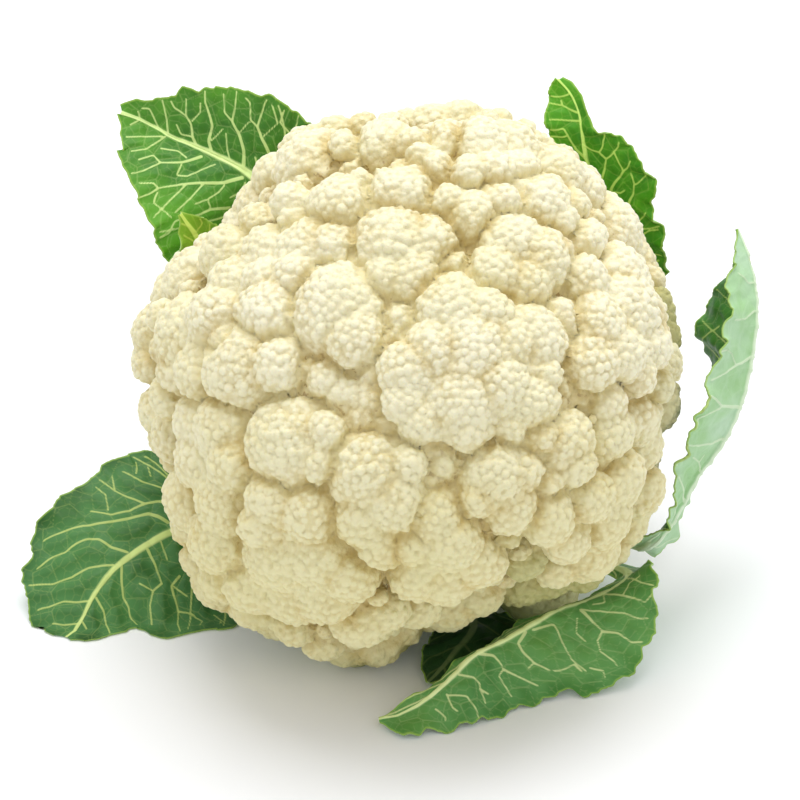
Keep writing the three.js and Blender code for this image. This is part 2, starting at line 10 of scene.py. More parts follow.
from mathutils.kdtree import KDTree
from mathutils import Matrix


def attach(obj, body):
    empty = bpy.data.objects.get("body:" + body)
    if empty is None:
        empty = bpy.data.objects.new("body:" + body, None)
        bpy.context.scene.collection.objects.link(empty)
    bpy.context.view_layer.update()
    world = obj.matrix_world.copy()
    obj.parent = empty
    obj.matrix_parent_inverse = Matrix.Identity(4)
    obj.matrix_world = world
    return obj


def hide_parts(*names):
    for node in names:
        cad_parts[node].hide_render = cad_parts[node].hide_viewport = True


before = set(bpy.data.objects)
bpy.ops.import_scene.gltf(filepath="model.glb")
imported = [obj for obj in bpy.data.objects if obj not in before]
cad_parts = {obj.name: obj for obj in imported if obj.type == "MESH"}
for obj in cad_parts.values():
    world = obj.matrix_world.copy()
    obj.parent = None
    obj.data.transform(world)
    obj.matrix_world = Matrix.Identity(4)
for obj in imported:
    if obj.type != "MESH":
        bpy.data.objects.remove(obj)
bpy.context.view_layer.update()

# Driving dimensions, in millimetres. Those of the head, the stalk and the leaf stalks are the same
# in the part's source.
MM = 0.001
HEAD_HEIGHT = 86.0  # of the head's centre above the surface that it rests on
CENTRE = np.array([10.0, -5.3, HEAD_HEIGHT])
HEAD_WAIST = 95.0  # radius across the head
HEAD_RISE = 84.0  # radius along its axis
HEAD_AXIS = np.array([0.13, -0.42, 0.9]) / np.linalg.norm([0.13, -0.42, 0.9])
STALK_RADIUS = 25.0
STALK_TOP = 58.0  # below the head's centre
UNDERSIDE_SLOPE = 0.5
UNDERSIDE_FLAT = 28.0  # radius of the flat that the stalk stands on
UNDERSIDE_TURN = 0.5  # angle over which the limit of the leaves turns into it
LEAST_DOWN = 0.05  # cosine, so that the underside's radius has an end
FLORET_REACH = math.radians(122)  # how far round from the crown the florets stand
LEAF_CLEARANCE = 5.0  # leaves keep this far from the head's envelope
PETIOLE_HALF_WIDTH = 6.0
PETIOLE_DEPTH = 6.0
ROOT_GAP = 0.8  # between a leaf's root and the stalk
ELBOW = 9.0  # how far a leaf's root runs straight out
JOIN_GAP = 0.35  # left between two pieces that touch
LOWEST = -HEAD_HEIGHT + 0.05  # what the curd and the leaves go down to
STALK_LOWEST = -HEAD_HEIGHT + 0.02
GOLDEN_ANGLE = math.pi * (3 - math.sqrt(5))
PARALLEL = 0.1  # a cross product of this length is of two lines that run nearly the same way

# The best side is seen from 30 degrees up and a metre away. Florets and leaves are measured square
# to that line of sight: right, up and near, in millimetres from the head's centre.
SIGHT = math.radians(30)
SIGHT_DISTANCE = 1000.0
RIGHT = np.array([1.0, 0.0, 0.0])
UP = np.array([0.0, math.sin(SIGHT), math.cos(SIGHT)])
NEAR = np.array([0.0, -math.cos(SIGHT), math.sin(SIGHT)])
VIEW_SHIFT = (-6.3, -5.6)  # where the view's middle lies from the head's centre, right and up
VIEW_WIDTH = 264.0  # what the view takes in at the head's centre
SENSOR_WIDTH = 36.0

LIMB_FROM = 0.55  # share of the radius, seen from there, where the outline takes over

# Radius of the head's outline seen from there, every 15 degrees, from the right and over the top
OUTLINE = np.array([
    89, 90, 88, 90, 92, 95, 91, 90, 90, 85, 88, 94,
    92, 90, 95, 101, 97, 97, 84, 78, 82, 90, 88, 82,
], float)

# Places in the photo, read off it
PHOTO_CENTRE = (419, 383)  # the pixel where the head's centre is
PHOTO_SCALE = 0.33  # millimetres a pixel at the head's centre

# Florets of the side that shows, bunch by bunch: pixel across and down, radius in pixels, and how
# far each stands out of the envelope, in millimetres
SHOWN_BUNCHES = {
    "upper left": [
        (322, 180, 34, 2), (347, 222, 26, 2.5), (297, 212, 17, 1.5), (297, 235, 13, 0),
        (262, 205, 26, 1), (265, 236, 20, 0), (280, 180, 20, 1), (240, 225, 16, -1),
        (365, 194, 12, 0),
    ],
    "top left edge": [
        (305, 145, 26, 3), (335, 135, 20, 2.5), (345, 160, 16, 1), (365, 128, 16, 1),
        (285, 162, 16, -1),
    ],
    "top middle": [
        (385, 162, 26, 1), (398, 185, 14, 0), (412, 160, 16, 0),
    ],
    "second row": [
        (402, 212, 31, 2),
    ],
    "middle row": [
        (396, 262, 36, 2), (425, 258, 26, 1.5), (412, 292, 24, 0), (382, 290, 18, 0),
    ],
    "middle row gap": [
        (448, 275, 14, -2),
    ],
    "left of centre": [
        (347, 322, 40, 3), (357, 345, 24, 2.2),
    ],
    "hollow left": [
        (332, 380, 16, -3.5), (350, 396, 16, -4.5), (375, 400, 16, -5), (365, 420, 18, -5),
        (385, 425, 12, -6), (345, 414, 12, -5), (312, 370, 10, -4), (376, 378, 12, -5),
    ],
    "hollow above centre": [
        (400, 326, 14, -3), (395, 345, 10, -4),
    ],
    "left": [
        (320, 265, 30, 1), (338, 258, 22, 0.5), (305, 285, 20, 1.5), (280, 262, 22, 1),
        (275, 288, 16, 1), (240, 262, 26, 1), (243, 292, 20, 1.5), (282, 322, 28, 2.5),
        (232, 322, 24, 2), (240, 350, 18, 1), (205, 290, 30, 1), (205, 340, 32, 1),
        (215, 375, 22, 1), (190, 375, 18, 0), (205, 258, 24, 0),
    ],
    "left lower": [
        (262, 372, 36, 3), (290, 368, 22, 2),
    ],
    "left lobe": [
        (150, 330, 22, 2.5), (150, 362, 20, 2.5), (172, 318, 14, 0), (180, 345, 14, -1),
        (165, 290, 24, 0.5), (180, 264, 16, 0),
    ],
    "left edge": [
        (160, 410, 24, 1.5), (155, 440, 18, 1), (182, 395, 20, 0), (187, 435, 22, 0),
        (172, 458, 14, -1),
    ],
    "lower left top": [
        (305, 440, 38, 3), (335, 428, 16, 1), (328, 460, 16, 2),
    ],
    "lower left side": [
        (245, 425, 30, 1.5), (212, 420, 22, 0), (215, 455, 24, 1), (250, 460, 22, 2),
        (240, 495, 26, 2), (205, 495, 26, 1), (200, 530, 24, 0.5), (235, 535, 28, 2),
    ],
    "lower left": [
        (285, 488, 24, 3), (318, 500, 24, 3), (275, 515, 20, 2.5), (290, 540, 28, 2.5),
        (325, 540, 26, 2), (260, 570, 26, 1.5), (300, 580, 26, 1), (335, 580, 26, 1),
        (356, 560, 22, 1),
    ],
    "lower middle": [
        (370, 466, 33, 3), (395, 490, 30, 2.5), (365, 505, 24, 2), (385, 527, 22, 1.5),
        (406, 458, 16, 1),
    ],
    "bottom left edge": [
        (190, 565, 22, 0.5), (212, 590, 24, 0.5), (240, 605, 20, -1), (232, 572, 20, 0),
    ],
    "bottom left": [
        (275, 612, 28, 0.5), (302, 615, 20, 0), (255, 600, 18, 0),
    ],
    "bottom": [
        (345, 645, 24, 0.5), (370, 635, 30, 1), (325, 630, 20, 0), (395, 625, 26, 0),
        (360, 605, 24, 0), (385, 596, 20, -1), (402, 648, 14, -1),
    ],
    "lower centre": [
        (430, 500, 26, 1), (405, 530, 18, 1), (445, 525, 24, 2), (470, 545, 24, 2),
        (440, 560, 26, 2.5), (415, 560, 22, 1.5), (475, 582, 24, 1.5), (445, 595, 26, 1),
        (415, 595, 20, 0), (422, 620, 18, -1),
    ],
    "hollow below centre": [
        (420, 450, 16, -4.5), (440, 460, 16, -4), (430, 477, 16, -4), (408, 446, 10, -6),
    ],
    "below centre": [
        (485, 468, 32, 2), (510, 465, 20, 1.5), (500, 495, 24, 1.5), (470, 490, 16, 1),
    ],
    "below centre gap": [
        (498, 524, 14, -3), (512, 542, 12, -5),
    ],
    "centre": [
        (445, 322, 32, 3), (478, 322, 22, 3), (520, 348, 30, 2.5), (500, 350, 20, 3),
        (465, 360, 32, 4.5), (430, 355, 24, 3.5), (408, 375, 24, 2.5), (405, 400, 18, 1.5),
        (420, 418, 18, 1), (455, 400, 30, 3.5), (460, 425, 20, 1.5), (490, 385, 24, 4),
        (515, 405, 26, 2.5), (505, 425, 14, 1), (535, 378, 14, 1.5),
    ],
    "right of the middle row": [
        (500, 262, 32, 2), (528, 272, 28, 2), (485, 285, 24, 1.5), (515, 295, 22, 1),
        (548, 262, 14, 0),
    ],
    "right gap": [
        (520, 311, 14, -2), (545, 326, 18, 0),
    ],
    "second row right": [
        (463, 232, 24, 1), (445, 215, 16, 1), (495, 217, 18, 1),
    ],
    "third row right": [
        (528, 218, 30, 1.5), (552, 232, 16, 0.5),
    ],
    "right": [
        (600, 290, 30, 2), (572, 285, 20, 1), (608, 320, 32, 3), (580, 330, 24, 2.5),
        (575, 368, 26, 2.5), (600, 360, 24, 3), (628, 350, 24, 2), (632, 320, 20, 1.5),
        (622, 376, 16, 1), (642, 338, 14, 0),
    ],
    "right shoulder": [
        (575, 250, 20, 0), (600, 235, 28, 1), (625, 225, 22, 1), (642, 250, 18, 0.5),
        (625, 265, 24, 0.5), (646, 282, 14, -1), (605, 210, 18, 0),
    ],
    "top right": [
        (575, 200, 22, 0), (560, 215, 16, 0), (587, 176, 18, 0.5), (545, 185, 24, 1),
        (515, 185, 18, 1), (490, 185, 16, 1), (505, 160, 22, 1), (475, 160, 24, 1),
        (460, 190, 16, 1), (535, 155, 22, 0.5), (565, 150, 18, 0.5), (520, 130, 18, 0.5),
    ],
    "top middle right": [
        (436, 182, 15, 1), (420, 172, 13, 0), (445, 155, 20, 0.5),
    ],
    "top": [
        (435, 125, 26, 0.5), (465, 115, 22, 0.5), (500, 124, 20, 0), (408, 127, 16, -0.5),
        (392, 134, 14, -1),
    ],
    "right edge": [
        (655, 402, 26, -1), (640, 385, 18, 0), (665, 428, 20, -1), (652, 365, 18, -1),
        (676, 388, 14, -2),
    ],
    "far right": [
        (672, 335, 28, -2), (690, 352, 18, -3), (655, 315, 18, -2), (686, 376, 16, -3),
        (651, 300, 12, -2),
    ],
    "hollow right": [
        (550, 385, 12, -4), (566, 396, 14, -4), (545, 403, 10, -5),
    ],
    "lower right top": [
        (590, 402, 20, 0), (590, 430, 24, 2), (620, 412, 24, 1), (625, 445, 24, 2),
        (650, 455, 22, 1), (655, 485, 16, 0.5),
    ],
    "lower right side": [
        (545, 437, 28, 1.5), (557, 460, 20, 1.5), (528, 432, 18, 1), (536, 478, 12, 0),
    ],
    "lower right": [
        (600, 470, 24, 3), (570, 490, 22, 2), (630, 485, 22, 2), (590, 510, 24, 2.5),
        (620, 520, 22, 1), (645, 512, 14, 0), (580, 545, 24, 1), (550, 557, 20, 0),
        (610, 546, 18, 0),
    ],
    "lower right corner": [
        (535, 505, 24, 2), (556, 527, 20, 1),
    ],
    "bottom right": [
        (525, 574, 29, 0), (561, 583, 29, 0), (516, 547, 20, -2), (592, 577, 23, 0),
        (492, 583, 18, -2), (501, 586, 14, -3),
    ],
}

# Florets are wider than they show, so that they run into each other
WIDENING = 1.4
RAISING = 0.8
BRIDGE_FILL = 0.6  # how far up balls fill the creases within a bunch
FIRST_NEAR = 40.0  # how near the viewer the search for a floret's place starts
PLACE_ROUNDS = 9

# Bunches beside the leaves: how much of the green painted shade each takes
LEAF_SHADE_GREENING = {"far right": 1.0, "right edge": 0.35, "bottom right": 0.75, "below centre gap": 0.3}

# The two lowest florets, which the head rests on beside its stalk: centre and radius
RESTING_FLORETS = [((-19, -34, -67), 21), ((40, -8, -71), 17)]

# The far side's large florets
HIDDEN_FLORETS = 74  # spread over the whole head, kept only on the far side
HIDDEN_SEED = 41
HIDDEN_TURN = 0.7
HIDDEN_RADIUS = 12
HIDDEN_RADIUS_SPREAD = 6
HIDDEN_LIFT = 1.5  # most that one stands out of the envelope or sinks into it
HIDDEN_SPACING = 0.75  # from other florets, over its radius
HIDDEN_NEAR = 0.05  # cosine to the line of sight that the far side starts at

# They and the two lowest are bunches too, of florets evenly spread over them
LESSER_SPACING = 11.0
LESSER_RADII = (7.4, 9.4)
LESSER_REACH = 1.9  # angle from the top of the whole
LESSER_SCATTER = 0.08

# Filling florets: pairs with one value for the side that shows and one for the far side
FILL_COUNT = 700
FILL_RADII = (5.5, 9.0)
FILL_DEPTHS = (4.5, 1.5)
FILL_ROOM = (0.0, -0.3)  # least distance of their middles from larger ones, over their radius
FILL_SIZES = (0.7, 1.2)  # least and most, over the radius
FILL_DEPTH_SPREAD = 1
FILL_SPACING = 1.1  # between their middles, over their radius
FILL_SCATTER = 0.012
FILL_NEAR = 0.1
FILL_FIRST_BUNCH = 1000  # each is a bunch of its own, counted from here

# A floret is a core under a spiral of smaller ones, larger the further they are from its top
CURD_SEED = 7
FULL_TURN = 6.28
GROWTH = 0.27  # radius of a smaller floret over its distance from the top
LARGEST_SHARE = 0.36  # and over the radius of the whole, at most
LEAST_FUSED = 1.9  # smaller ones are grains
FIRST_ANGLE = 0.02  # of the spiral, from the top
WRAP = 1.7  # and its last one
ANGLE_STEPS = 400
CROWDING = 2.9  # area that one takes up, over its squared radius
ANGLE_SPREAD = (0.95, 1.05)
SIZE_SPREAD = (0.82, 1.15)
GROWTH_SCATTER = 0.04
SEAT = 0.92  # depth of its centre below the surface of the whole, over its radius
SEAT_SPREAD = (-0.1, 0.06)
SQUARENESS = 2.1  # of a floret's section: 2 is a ball, and more has steeper sides

# The core and the balls that are fused with it, and the ribs below, at angles from the crown
CURD_VOXEL = 1.1
CORE_SHARE = 0.96
CORE_DEPTH = 12.0
CORE_ROUNDS = 5
CORE_GAP = 0.4  # above the stalk
BRANCH_RIBS = ((2.6, 5.5, 0), (1.5, 11, 2))  # height, half their number and turn
RIB_SINK = 4.2
RIBS_BEGIN = (1.9, 2.3)
RIBS_END = (2.62, 2.8)
FINE_ABOVE = 9  # radius from which a floret's ball is a finer one
COARSE_BELOW = 4
EDGE_TOLERANCE = 1.01

# What is cut in between bunches, between florets and between the smaller florets on one
CLEFT_DEPTH = 2.4
CLEFT_WIDTH = 1.5
GROOVE_DEPTH = 0.6
GROOVE_WIDTH = 0.9
CREASE_DEPTH = 0.35
CREASE_WIDTH = 0.5
CREASE_REACH = 1.2  # from a smaller floret's surface
CROWN = (0.35, 0.85)  # cosines to a floret's axis that its top starts between
FAR = 99.0
SIZE_BOUNDS = (0.0, 3.0, 5.0, 8.0, FAR)  # balls are looked up by groups of like radius
LOOKUP_SHARE = 1.15
LOOKUP_ROOM = 1.5
TINY = 1e-6

# Grains
GRAIN_SEED = 11
GRAIN_RADIUS = 1.6
GRAIN_SPACING = 2.45
GRAIN_SPACING_SPREAD = (0.8, 1.25)
GRAIN_SIZE_SPREAD = (0.9, 1.1)
GRAIN_LOOKUP = 2.2  # the radius of the largest
GRAIN_SHARPNESS = 0.12  # of the dips between them, and less is sharper
GRAIN_FACING = 0.2  # least cosine between the surface's directions at a point and at the grain
GRAIN_BASE = 0.6  # height left out below them, over their radius
GRAIN_RELIEF = (0.38, 0.56)  # well off a floret's top and at it

# Rounds of smoothing, and where values change over
SMOOTHING_PULL = 0.5
NORMAL_ROUNDS = 2
WIDE_ROUNDS = 60
GREEN_ROUNDS = 30
LOWER_FROM = (0.45, 0.75)  # cosines from the stalk's way
# painted shade, darker and yellower, fades out upwards between these heights
LOW_SHADE_FROM = (-80, 25)  # heights in the best view

# The curd's map for baking
MAP_MIDDLES = (0.25, 0.75)
MAP_HALF_SIZE = (0.225, 0.45)
MAP_EDGE = -0.6

# Nets of the leaves: how fine they are, and how their middle layer swells and waves
ROW_STEP = 0.55
COLUMN_STEP = 0.62
COLUMNS_EACH_SIDE = (34, 96)  # fewest and most
RAIL_SAMPLES = 600
MARGIN_SHARE = 0.8  # of a margin's length, where it is longer than the midrib
PETIOLE_END = 0.8  # share of the way to the blade where it starts to open
PETIOLE_STEPS = 0.5  # rows of the leaf stalk over those of the blade
PETIOLE_FLARE = 1.3
LEAF_ROOM = 0.5
LEAF_SEED = 100
TEETH = ((0.5, 19), (0.22, 7.1), (0.3, 4.3))  # height and length, from broad to sharp
TEETH_REACH = (2.0, 8.0)  # half widths of the leaf that teeth start and are full at
MARGIN_FROM = 0.75
WAVE_SHIFT = 2  # of the right half's waves
RIPPLE_HEIGHTS = (1.5, 0.6)
RIPPLE_LENGTHS = (17, 8.3)
RIPPLE_POWERS = (3, 6)  # how close to the margin they stay
RIPPLE_ROOM = 12
MARGIN_LIFT = 0.7
VEIN_SWELL = 1.2
VEIN_SWELL_REACH = 7
CELL_SWELL = 0.28
CELL_SWELL_REACH = 2.2
SWELL_WIDTHS = (3, 12)  # half widths of the leaf
MARGIN_FLATNESS = 0.7

# Veins, with branches made up where none shows
VEIN_SHARE = 0.62  # of the half widths below
VEIN_LEAST = 0.27
VEIN_TIP = 0.4  # half width at the tip, over that at the start
VEIN_STEP = 0.35
VEIN_ROUNDS = 3
VEIN_EDGE = (-0.15, 0.25)
VEINS_FROM = 0.85
NEAR_RIB = 0.3
BRANCH_SPACING = 13
BRANCH_SPREAD = (0.85, 1.2)
BRANCH_HALF_WIDTH = 0.8
BRANCH_PARTS = (0.0, 0.2, 0.45, 0.7, 0.95)
BRANCH_SLOPE = 1.1
BRANCH_BEND = 0.1
BRANCH_SWAY = 0.12
NET_SPACINGS = (6.5, 2.6)
NET_SCATTER = 0.12

# Thickness of a leaf: of its blade, leaf stalk, midrib and veins, over and under its middle layer
BLADE_THICKNESS = 0.6
TIP_DEPTH = 0.6
RIB_WIDTHS = (2.3, 0.45)  # where the blade starts and at its tip
RIB_EDGE = (0.75, 1.15)
RIDGE_WIDTH = 1.25
PETIOLE_FROM = 0.7
STEM_SHARES = (0.2, 0.8)  # over and under
RIDGE_SHARE = 0.7
RIDGE_HEIGHT = 0.25
VEIN_HEIGHTS = (0.12, 0.3)

# Leaves. Each starts on the stalk at a turn round it and a depth down it, follows the head's
# underside, and then runs through stations of three points, as right, up and near: midrib,
# left margin and right margin, looking at its upper face with the tip up.
LEAVES = [
    {
        "name": "leaf_back_left",
        "turn": 122, "depth": 66,
        "stations": [
            [[-34, 2, -94], [-42, -2, -92], [-27, 4, -95]],
            [[-40, 26, -88], [-60, 14, -80], [-21, 38, -90]],
            [[-46, 50, -74], [-76, 33, -60], [-26, 72, -62]],
            [[-53, 67, -58], [-85, 46, -51], [-44, 92, -50]],
            [[-68, 76, -60], [-92, 62, -52], [-66, 96, -55]],
            [[-80, 81, -62], [-96, 72, -55], [-80, 95, -58]],
            [[-91, 87, -63], [-97.5, 82, -60], [-90, 93, -60]],
            [[-98, 89.5, -62], [-98.5, 88.5, -62], [-97, 91, -62]],
        ],
        "wave": 2.2, "waves": 4, "teeth": 0.5, "rib": 1.6,
    },
    {
        "name": "leaf_small_left",
        "turn": 153, "depth": 64,
        "stations": [
            [[-62, 30, -66], [-67, 26, -62], [-57, 34, -69]],
            [[-71, 44, -47], [-80, 40, -40], [-64, 50, -50]],
            [[-74, 49.5, -42], [-78.5, 47, -39], [-68.5, 53, -44]],
            [[-76.5, 53, -40], [-78.5, 51, -39], [-72.5, 55, -41]],
            [[-78.5, 56, -39], [-79, 55.4, -39], [-78, 56.4, -39]],
        ],
        "wave": 0.8, "waves": 4, "teeth": 1.4, "petiole": 3.6,
    },
    {
        "name": "leaf_back_right",
        "turn": 60, "depth": 66,
        "stations": [
            [[36, 0, -94], [26, 4, -96], [48, -5, -90]],
            [[45, 22, -90], [29, 26, -96], [66, 16, -76]],
            [[55, 48, -72], [38, 55, -74], [80, 34, -54]],
            [[59, 62, -56], [42, 70, -58], [80.5, 48, -44]],
            [[57, 70, -51], [42, 76, -50], [76, 57, -43]],
            [[55.5, 75, -49], [42, 80, -47], [77.5, 64, -41]],
            [[54.5, 80, -47], [42.5, 84, -46], [66, 81, -41]],
            [[54, 84, -46], [42, 88, -46], [57, 83, -43]],
            [[53, 90, -46], [42, 93, -47], [56, 89, -44]],
            [[50, 96, -46], [43.5, 98, -47], [53, 96, -45]],
            [[46, 100.5, -46], [45, 100.5, -46], [47.2, 100, -46]],
        ],
        "wave": 1.4, "waves": 5,
    },
    {
        "name": "leaf_right",
        "turn": 14, "depth": 64,
        "stations": [
            [[76, -53, -26], [78, -57, -34], [73, -48, -18]],
            [[84, -44, -18], [85, -46, -34], [78, -42, -4]],
            [[92, -30, -12], [90, -26, -40], [82.5, -31, 4]],
            [[99, -21, -11], [95, -12, -46], [82.5, -22, 8]],
            [[106, -7, -12], [97, 2, -50], [88, -8, 8]],
            [[110, 10, -14], [92, 17, -50], [96, 6, 4]],
            [[111.5, 26, -16], [95, 28, -43], [101, 22, -2]],
            [[109, 41, -18], [104, 40, -28], [102, 36, -10]],
            [[105, 51, -20], [104.6, 50.2, -21], [104, 50, -19]],
        ],
        "wave": 1.6, "waves": 5,
    },
    {
        "name": "leaf_front",
        "turn": -22, "depth": 74,
        "stations": [
            [[44, -55, -50], [47, -53, -53], [41, -57, -47]],
            [[68, -62, -32], [72, -60.5, -34], [64, -63.5, -30]],
            [[68, -66, -16], [76, -59, -6], [63, -65, -19]],
            [[57, -70, -8], [78, -70, 0], [49, -69.5, -11]],
            [[46, -75, -3], [74, -87, 2], [36, -75, -8]],
            [[37.6, -79.5, 3], [60, -101, 6], [27, -82, 0]],
            [[28, -85, 9], [45, -101.5, 8], [21, -87, 7]],
            [[18, -90, 14], [32, -106.5, 13], [13, -91, 11]],
            [[11, -97, 17], [18, -111.5, 21], [7, -97, 15]],
            [[2, -105, 20], [6, -113.5, 24], [-1, -102, 18]],
            [[-7, -110, 21], [-5, -115.5, 27], [-8, -107, 19]],
            [[-13.5, -111, 22], [-13, -112, 22.4], [-13, -110.2, 21.6]],
        ],
        "wave": 1.0, "waves": 6, "teeth": 0.5,
    },
    {
        "name": "leaf_under",
        "turn": -70, "depth": 73,
        "stations": [
            [[14, -72, -32], [20, -72, -30], [8, -72, -34]],
            [[18, -81, -15], [36, -82, -12], [6, -79, -18]],
            [[12, -89, -6], [28, -90, -4], [2, -86, -10]],
            [[7, -95, 0], [16, -96, 1], [1, -93, -3]],
            [[3, -99, 4], [4, -99, 4], [2.4, -98.4, 3.6]],
        ],
        "wave": 0.5, "waves": 3, "petiole": 4.5,
    },
    {
        "name": "leaf_left",
        "turn": 190, "depth": 68,
        "stations": [
            [[-58, -44, -54], [-52, -60, -46], [-64, -34, -60]],
            [[-70, -46, -50], [-60, -84, -31], [-86, -22, -61]],
            [[-81.5, -49, -45], [-71, -85.5, -29], [-97, -24, -58]],
            [[-93.5, -56, -40], [-83, -87.5, -25], [-110, -33, -53]],
            [[-101, -62, -36], [-92, -83.5, -30], [-121, -41, -47]],
            [[-107, -70, -32], [-101, -87, -26], [-126, -54, -41]],
            [[-111, -78, -28], [-107, -88, -24], [-129.5, -67, -36]],
            [[-114, -83, -26], [-111, -88, -24], [-126, -78, -30]],
            [[-116, -87, -25], [-114, -88.5, -24], [-119, -85.5, -26]],
        ],
        "wave": 1.8, "waves": 4, "teeth": 0.5,
    },
]

# A leaf's map for baking: its upper and its lower face side by side, and the rim as a narrow strip
FACE_MAP_STARTS = (0.02, 0.53)
FACE_MAP = (0.45, 0.94)
RIM_MAP_WIDTH = 0.004

# Crops of the photo that the veins were read off, much enlarged: where a crop's upper left corner
# lies, right and up of the head's centre, and how large its pixels are, in millimetres
VEIN_CROPS = {
    "leaf_back_left": (-105.3, 103.3, 0.0484),
    "leaf_small_left": (-105.3, 103.3, 0.0484),
    "leaf_back_right": (36.6, 106.6, 0.0526),
    "leaf_front": (-16.2, -55.1, 0.06314),
    "leaf_left": (-135.0, -15.5, 0.05683),
    "leaf_right": (69.6, 53.8, 0.0379),
}

